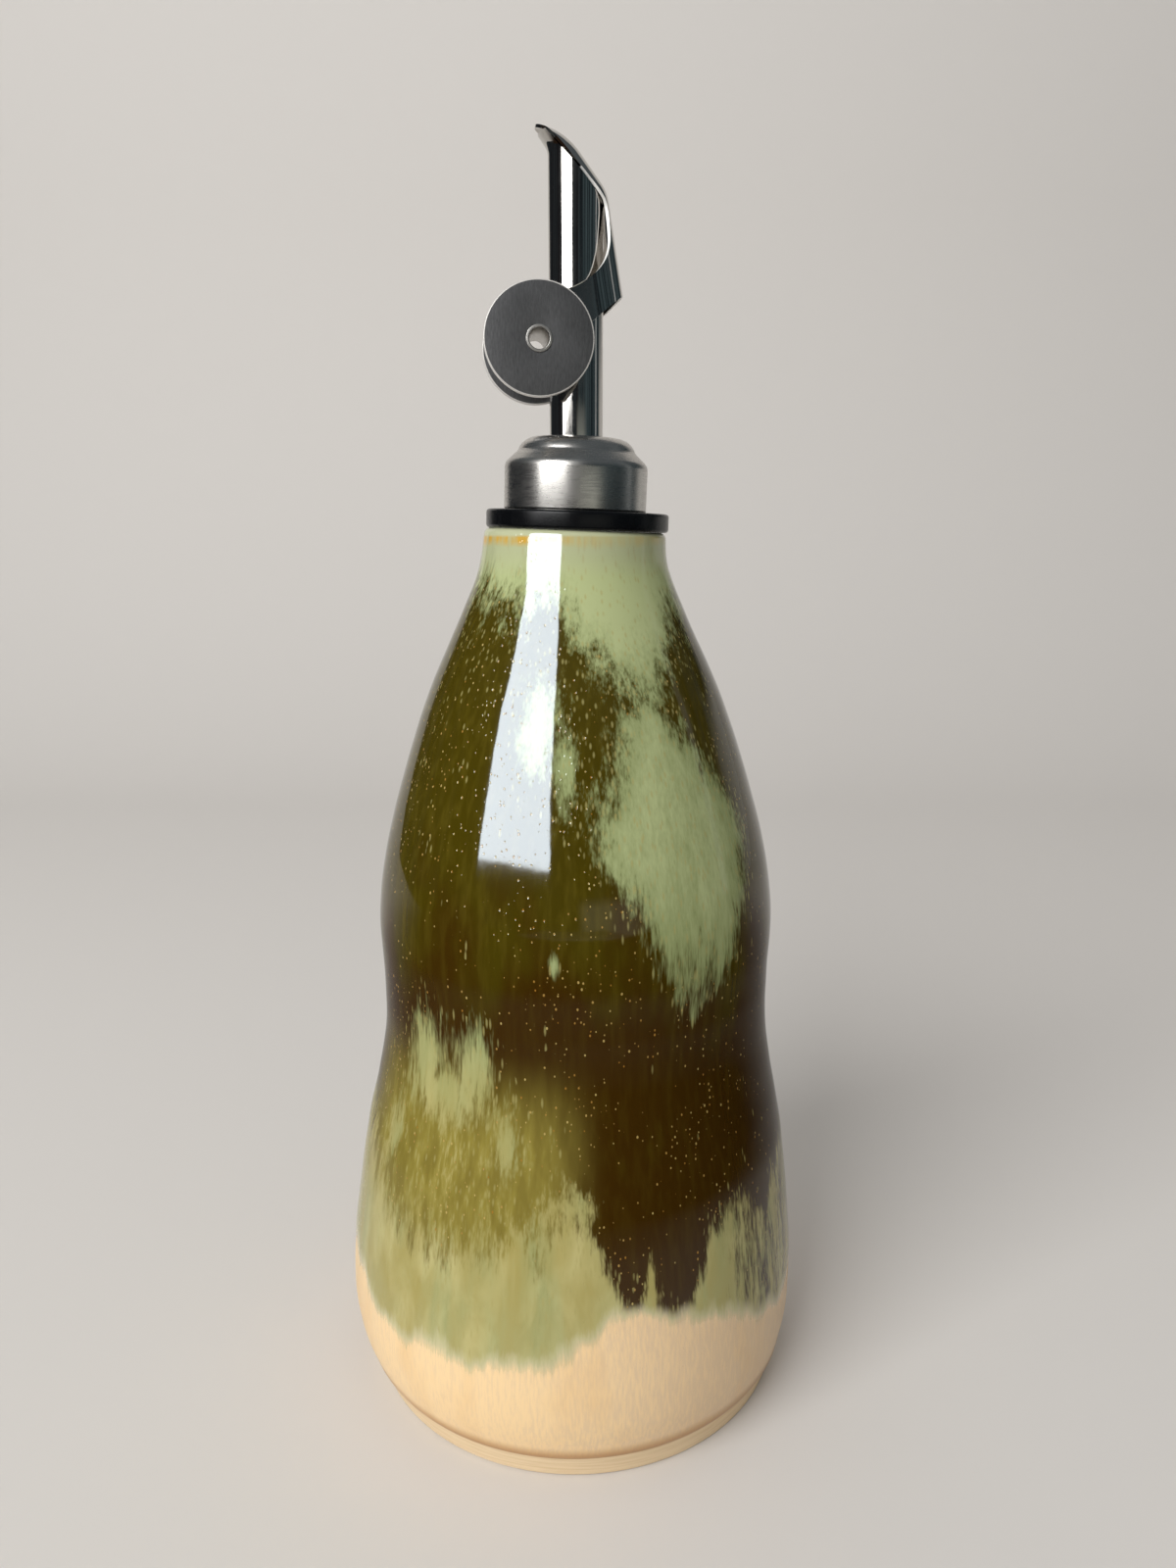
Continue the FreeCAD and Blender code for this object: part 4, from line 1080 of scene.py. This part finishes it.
class OILJAR_OT_studio(bpy.types.Operator):
    """Set out the floor and its sweep, the lamps, the surroundings and the camera"""

    bl_idname = "oiljar.studio"
    bl_label = "Studio"

    def execute(self, context):
        studio = context.scene.oil_jar_studio
        self.lay_floor(studio)
        self.lay_flag()
        self.hang_lamps(studio)
        self.fill_room(studio)
        self.stand_camera(studio)
        context.scene.view_settings.view_transform = "Standard"
        return {"FINISHED"}

    def lay_floor(self, studio):
        """A plain pale sheet that sweeps up behind the jar."""
        bm = bmesh.new()
        corners = [(FLOOR_FRONT, 0, 0), (FLOOR_BACK, 0, FLOOR_BEND), (FLOOR_BACK, FLOOR_TOP, 0)]
        verts = [bm.verts.new((-FLOOR_HALF_WIDTH, y, z)) for y, z, _ in corners]
        for pair in zip(verts, verts[1:]):
            bm.edges.new(pair)
        for vert, (_, _, bend) in zip(verts, corners):
            if bend:
                bmesh.ops.bevel(bm, geom=[vert], affect="VERTICES", offset=bend, segments=32,
                                profile=0.5, offset_type="OFFSET", material=-1)
        swept = bmesh.ops.extrude_edge_only(bm, edges=bm.edges[:])["geom"]
        moved = [item for item in swept if isinstance(item, bmesh.types.BMVert)]
        bmesh.ops.translate(bm, verts=moved, vec=(2 * FLOOR_HALF_WIDTH, 0, 0))
        bmesh.ops.recalc_face_normals(bm, faces=bm.faces)
        self.set_out("floor", bm, self.paper(studio))

    def set_out(self, name, bm, material):
        """Make a smooth piece of the studio from its bmesh."""
        mesh = bpy.data.meshes.new(name)
        bm.to_mesh(mesh)
        bm.free()
        mesh.polygons.foreach_set("use_smooth", [True] * len(mesh.polygons))
        mesh.materials.append(material)
        piece = bpy.data.objects.new(name, mesh)
        bpy.context.scene.collection.objects.link(piece)
        return piece

    def lay_flag(self):
        """A soft-edged dark card over the floor in front, which only mirrors ever show.

        It keeps the pale floor out of the wet glass, so that the dark glaze stays deep.
        """
        bm = bmesh.new()
        bmesh.ops.create_grid(bm, x_segments=1, y_segments=1, size=FLAG_HALF_WIDTH)
        bmesh.ops.translate(bm, verts=bm.verts, vec=(0, 0, FLAG_LIFT))
        material, tree = new_material("flag_card")
        place = add(tree, "ShaderNodeTexCoord").outputs["Object"]
        away = add(tree, "ShaderNodeVectorMath", {0: place}, operation="LENGTH").outputs["Value"]
        outside = add(tree, "ShaderNodeMapRange", {
            "Value": away, "From Min": 0.05, "From Max": 0.22}, interpolation_type="SMOOTHSTEP")
        before = add(tree, "ShaderNodeMapRange", {
            "Value": add(tree, "ShaderNodeSeparateXYZ", {0: place}).outputs["Y"],
            "From Min": 0.30, "From Max": 0.0}, interpolation_type="SMOOTHSTEP")
        solid = add(tree, "ShaderNodeMath", {0: outside, 1: before}, operation="MULTIPLY")
        card = add(tree, "ShaderNodeMixShader", {
            0: solid, 1: add(tree, "ShaderNodeBsdfTransparent"),
            2: add(tree, "ShaderNodeBsdfDiffuse", {"Color": to_linear("#2c2017")})})
        add(tree, "ShaderNodeOutputMaterial", {"Surface": card})
        flag = self.set_out("flag", bm, material)
        flag.visible_camera = False
        flag.visible_diffuse = False
        flag.visible_shadow = False

    def paper(self, studio):
        """Matt seamless paper: even, with the faintest tooth."""
        material, tree = new_material("seamless_paper")
        place = add(tree, "ShaderNodeTexCoord").outputs["Object"]
        tooth = add(tree, "ShaderNodeTexNoise", {"Vector": place, "Scale": per_mm(1.2)})
        skin = add(tree, "ShaderNodeBump", {
            "Height": tooth, "Strength": 0.1, "Distance": 0.05 * MM})
        shader = add(tree, "ShaderNodeBsdfPrincipled", {
            "Base Color": studio.floor, "Roughness": 0.9, "Specular IOR Level": 0.1,
            "Normal": skin})
        add(tree, "ShaderNodeOutputMaterial", {"Surface": shader})
        return material

    def hang_lamps(self, studio):
        """A tall window-like soft lamp at the front left, and a wide dim one overhead.

        The sheen lamp lies just before the window. It only shows in the jar's wet glass.
        """
        facing = Vector((math.sin(WINDOW_TURN), math.cos(WINDOW_TURN), 0))
        aim = facing.to_track_quat("-Z", "Y") @ Quaternion((0, 0, 1), WINDOW_ROLL)
        window = facing * -WINDOW_AWAY + Vector((0, 0, WINDOW_HEIGHT))
        nearer = window + facing * SHEEN_AHEAD
        overhead = Vector((0, 0, OVERHEAD_HEIGHT))
        lamps = [
            ("window", studio.window_power, WINDOW_SIZE, window, aim),
            ("window_sheen", studio.sheen_power, WINDOW_SIZE, nearer, aim),
            ("overhead", studio.overhead_power, OVERHEAD_SIZE, overhead, Quaternion()),
        ]
        for name, power, (width, tall), place, turned_to in lamps:
            lamp = bpy.data.lights.new(name, "AREA")
            lamp.shape = "RECTANGLE"
            lamp.size = width
            lamp.size_y = tall
            lamp.energy = power
            lit = bpy.data.objects.new(name, lamp)
            lit.location = place
            lit.rotation_euler = turned_to.to_euler()
            lit.visible_camera = False
            bpy.context.scene.collection.objects.link(lit)
        sheen = bpy.data.objects["window_sheen"]
        sheen.data.color = studio.sheen_colour[:3]
        sheen.visible_diffuse = False
        bpy.data.objects["overhead"].visible_glossy = False
        glassy = bpy.data.collections.new("wet_glass")
        glassy.objects.link(bpy.data.objects["stoneware_jar"])
        sheen.light_linking.receiver_collection = glassy

    def fill_room(self, studio):
        """Even fill for the object; what is mirrored is a dim room and a pale backdrop."""
        world = bpy.data.worlds.new("studio")
        bpy.context.scene.world = world
        world.use_nodes = True
        tree = world.node_tree
        tree.nodes.clear()
        rays = add(tree, "ShaderNodeLightPath")
        sight = add(tree, "ShaderNodeTexCoord").outputs["Generated"]
        around = add(tree, "ShaderNodeSeparateXYZ", {0: sight})
        flank = add(tree, "ShaderNodeMapRange", {
            "Value": around.outputs["X"], "From Min": 0.1, "From Max": 0.55})
        room = add(tree, "ShaderNodeMix", {
            "Factor": flank, "A": to_linear("#1c1b1e"), "B": to_linear("#1f292d")},
            data_type="RGBA")
        uprights = add(tree, "ShaderNodeTexNoise", {
            "Vector": add(tree, "ShaderNodeMapping", {"Vector": sight, "Scale": (1, 1, 0.03)}),
            "Scale": 11.0, "Detail": 3.0})
        uprights = add(tree, "ShaderNodeMapRange", {
            "Value": uprights, "From Min": 0.42, "From Max": 0.72, "To Max": 0.75})
        uprights = add(tree, "ShaderNodeMath", {
            0: uprights, 1: add(tree, "ShaderNodeMapRange", {"Value": flank, "To Min": 0.3})},
            operation="MULTIPLY")
        room = add(tree, "ShaderNodeMix", {
            "Factor": uprights, "A": room, "B": to_linear("#5f6f74")}, data_type="RGBA")
        for colour, strength, fades in MIRRORED:
            share = strength
            for axis, start, end, curve in fades:
                fade = add(tree, "ShaderNodeMapRange", {
                    "Value": around.outputs[axis], "From Min": start, "From Max": end},
                    interpolation_type=curve)
                share = add(tree, "ShaderNodeMath", {0: share, 1: fade}, operation="MULTIPLY")
            room = add(tree, "ShaderNodeMix", {
                "Factor": share, "A": room, "B": to_linear(colour)}, data_type="RGBA")
        seen = add(tree, "ShaderNodeMix", {
            "Factor": rays.outputs["Is Camera Ray"], "A": room, "B": to_linear("#d9d6d1")},
            data_type="RGBA")
        plain = add(tree, "ShaderNodeMath", {
            0: rays.outputs["Is Camera Ray"], 1: rays.outputs["Is Glossy Ray"]}, operation="ADD")
        plain = add(tree, "ShaderNodeMath", {
            0: plain, 1: rays.outputs["Is Transmission Ray"]}, operation="ADD", use_clamp=True)
        even = [studio.fill] * 3 + [1.0]
        colour = add(tree, "ShaderNodeMix", {
            "Factor": plain, "A": even, "B": seen}, data_type="RGBA")
        light = add(tree, "ShaderNodeBackground", {"Color": colour, "Strength": 1.0})
        add(tree, "ShaderNodeOutputWorld", {"Surface": light})

    def stand_camera(self, studio):
        """Close in front of the jar, level with its rim and tipped down a little."""
        camera = bpy.data.cameras.new("camera")
        camera.sensor_fit = "VERTICAL"
        camera.sensor_height = 36.0
        camera.lens = studio.lens
        camera.clip_start = 0.01
        stand = bpy.data.objects.new("camera", camera)
        stand.location = CAMERA_PLACE
        stand.rotation_euler = (math.radians(90 - CAMERA_TIP), 0, 0)
        bpy.context.scene.collection.objects.link(stand)
        bpy.context.scene.camera = stand


class VIEW3D_PT_oil_jar(bpy.types.Panel):
    """Settings of the oil jar, and a button for each of its pieces"""

    bl_label = "Oil jar"
    bl_space_type = "VIEW_3D"
    bl_region_type = "UI"
    bl_category = "Oil jar"

    def draw(self, context):
        layout = self.layout
        for settings in (context.scene.oil_jar_glaze, context.scene.oil_jar_pourer,
                         context.scene.oil_jar_studio):
            box = layout.box()
            for name in settings.__annotations__:
                box.prop(settings, name)
        for operator in OPERATORS:
            layout.operator(operator.bl_idname)


OPERATORS = [
    OILJAR_OT_jar, OILJAR_OT_collar, OILJAR_OT_cap, OILJAR_OT_spout, OILJAR_OT_flap,
    OILJAR_OT_weights, OILJAR_OT_rivets, OILJAR_OT_studio,
]
SETTINGS = [
    ("oil_jar_glaze", GlazeSettings), ("oil_jar_pourer", PourerSettings),
    ("oil_jar_studio", StudioSettings),
]


def register():
    for name, settings in SETTINGS:
        bpy.utils.register_class(settings)
        setattr(bpy.types.Scene, name, bpy.props.PointerProperty(type=settings))
    for kind in OPERATORS + [VIEW3D_PT_oil_jar]:
        bpy.utils.register_class(kind)


def unregister():
    for kind in reversed(OPERATORS + [VIEW3D_PT_oil_jar]):
        bpy.utils.unregister_class(kind)
    for name, settings in reversed(SETTINGS):
        delattr(bpy.types.Scene, name)
        bpy.utils.unregister_class(settings)


def main():
    """Make every piece and the studio."""
    register()
    bpy.ops.oiljar.jar()
    bpy.ops.oiljar.collar()
    bpy.ops.oiljar.cap()
    bpy.ops.oiljar.spout()
    bpy.ops.oiljar.flap()
    bpy.ops.oiljar.weights()
    bpy.ops.oiljar.rivets()
    bpy.ops.oiljar.studio()


if __name__ == "__main__":
    main()
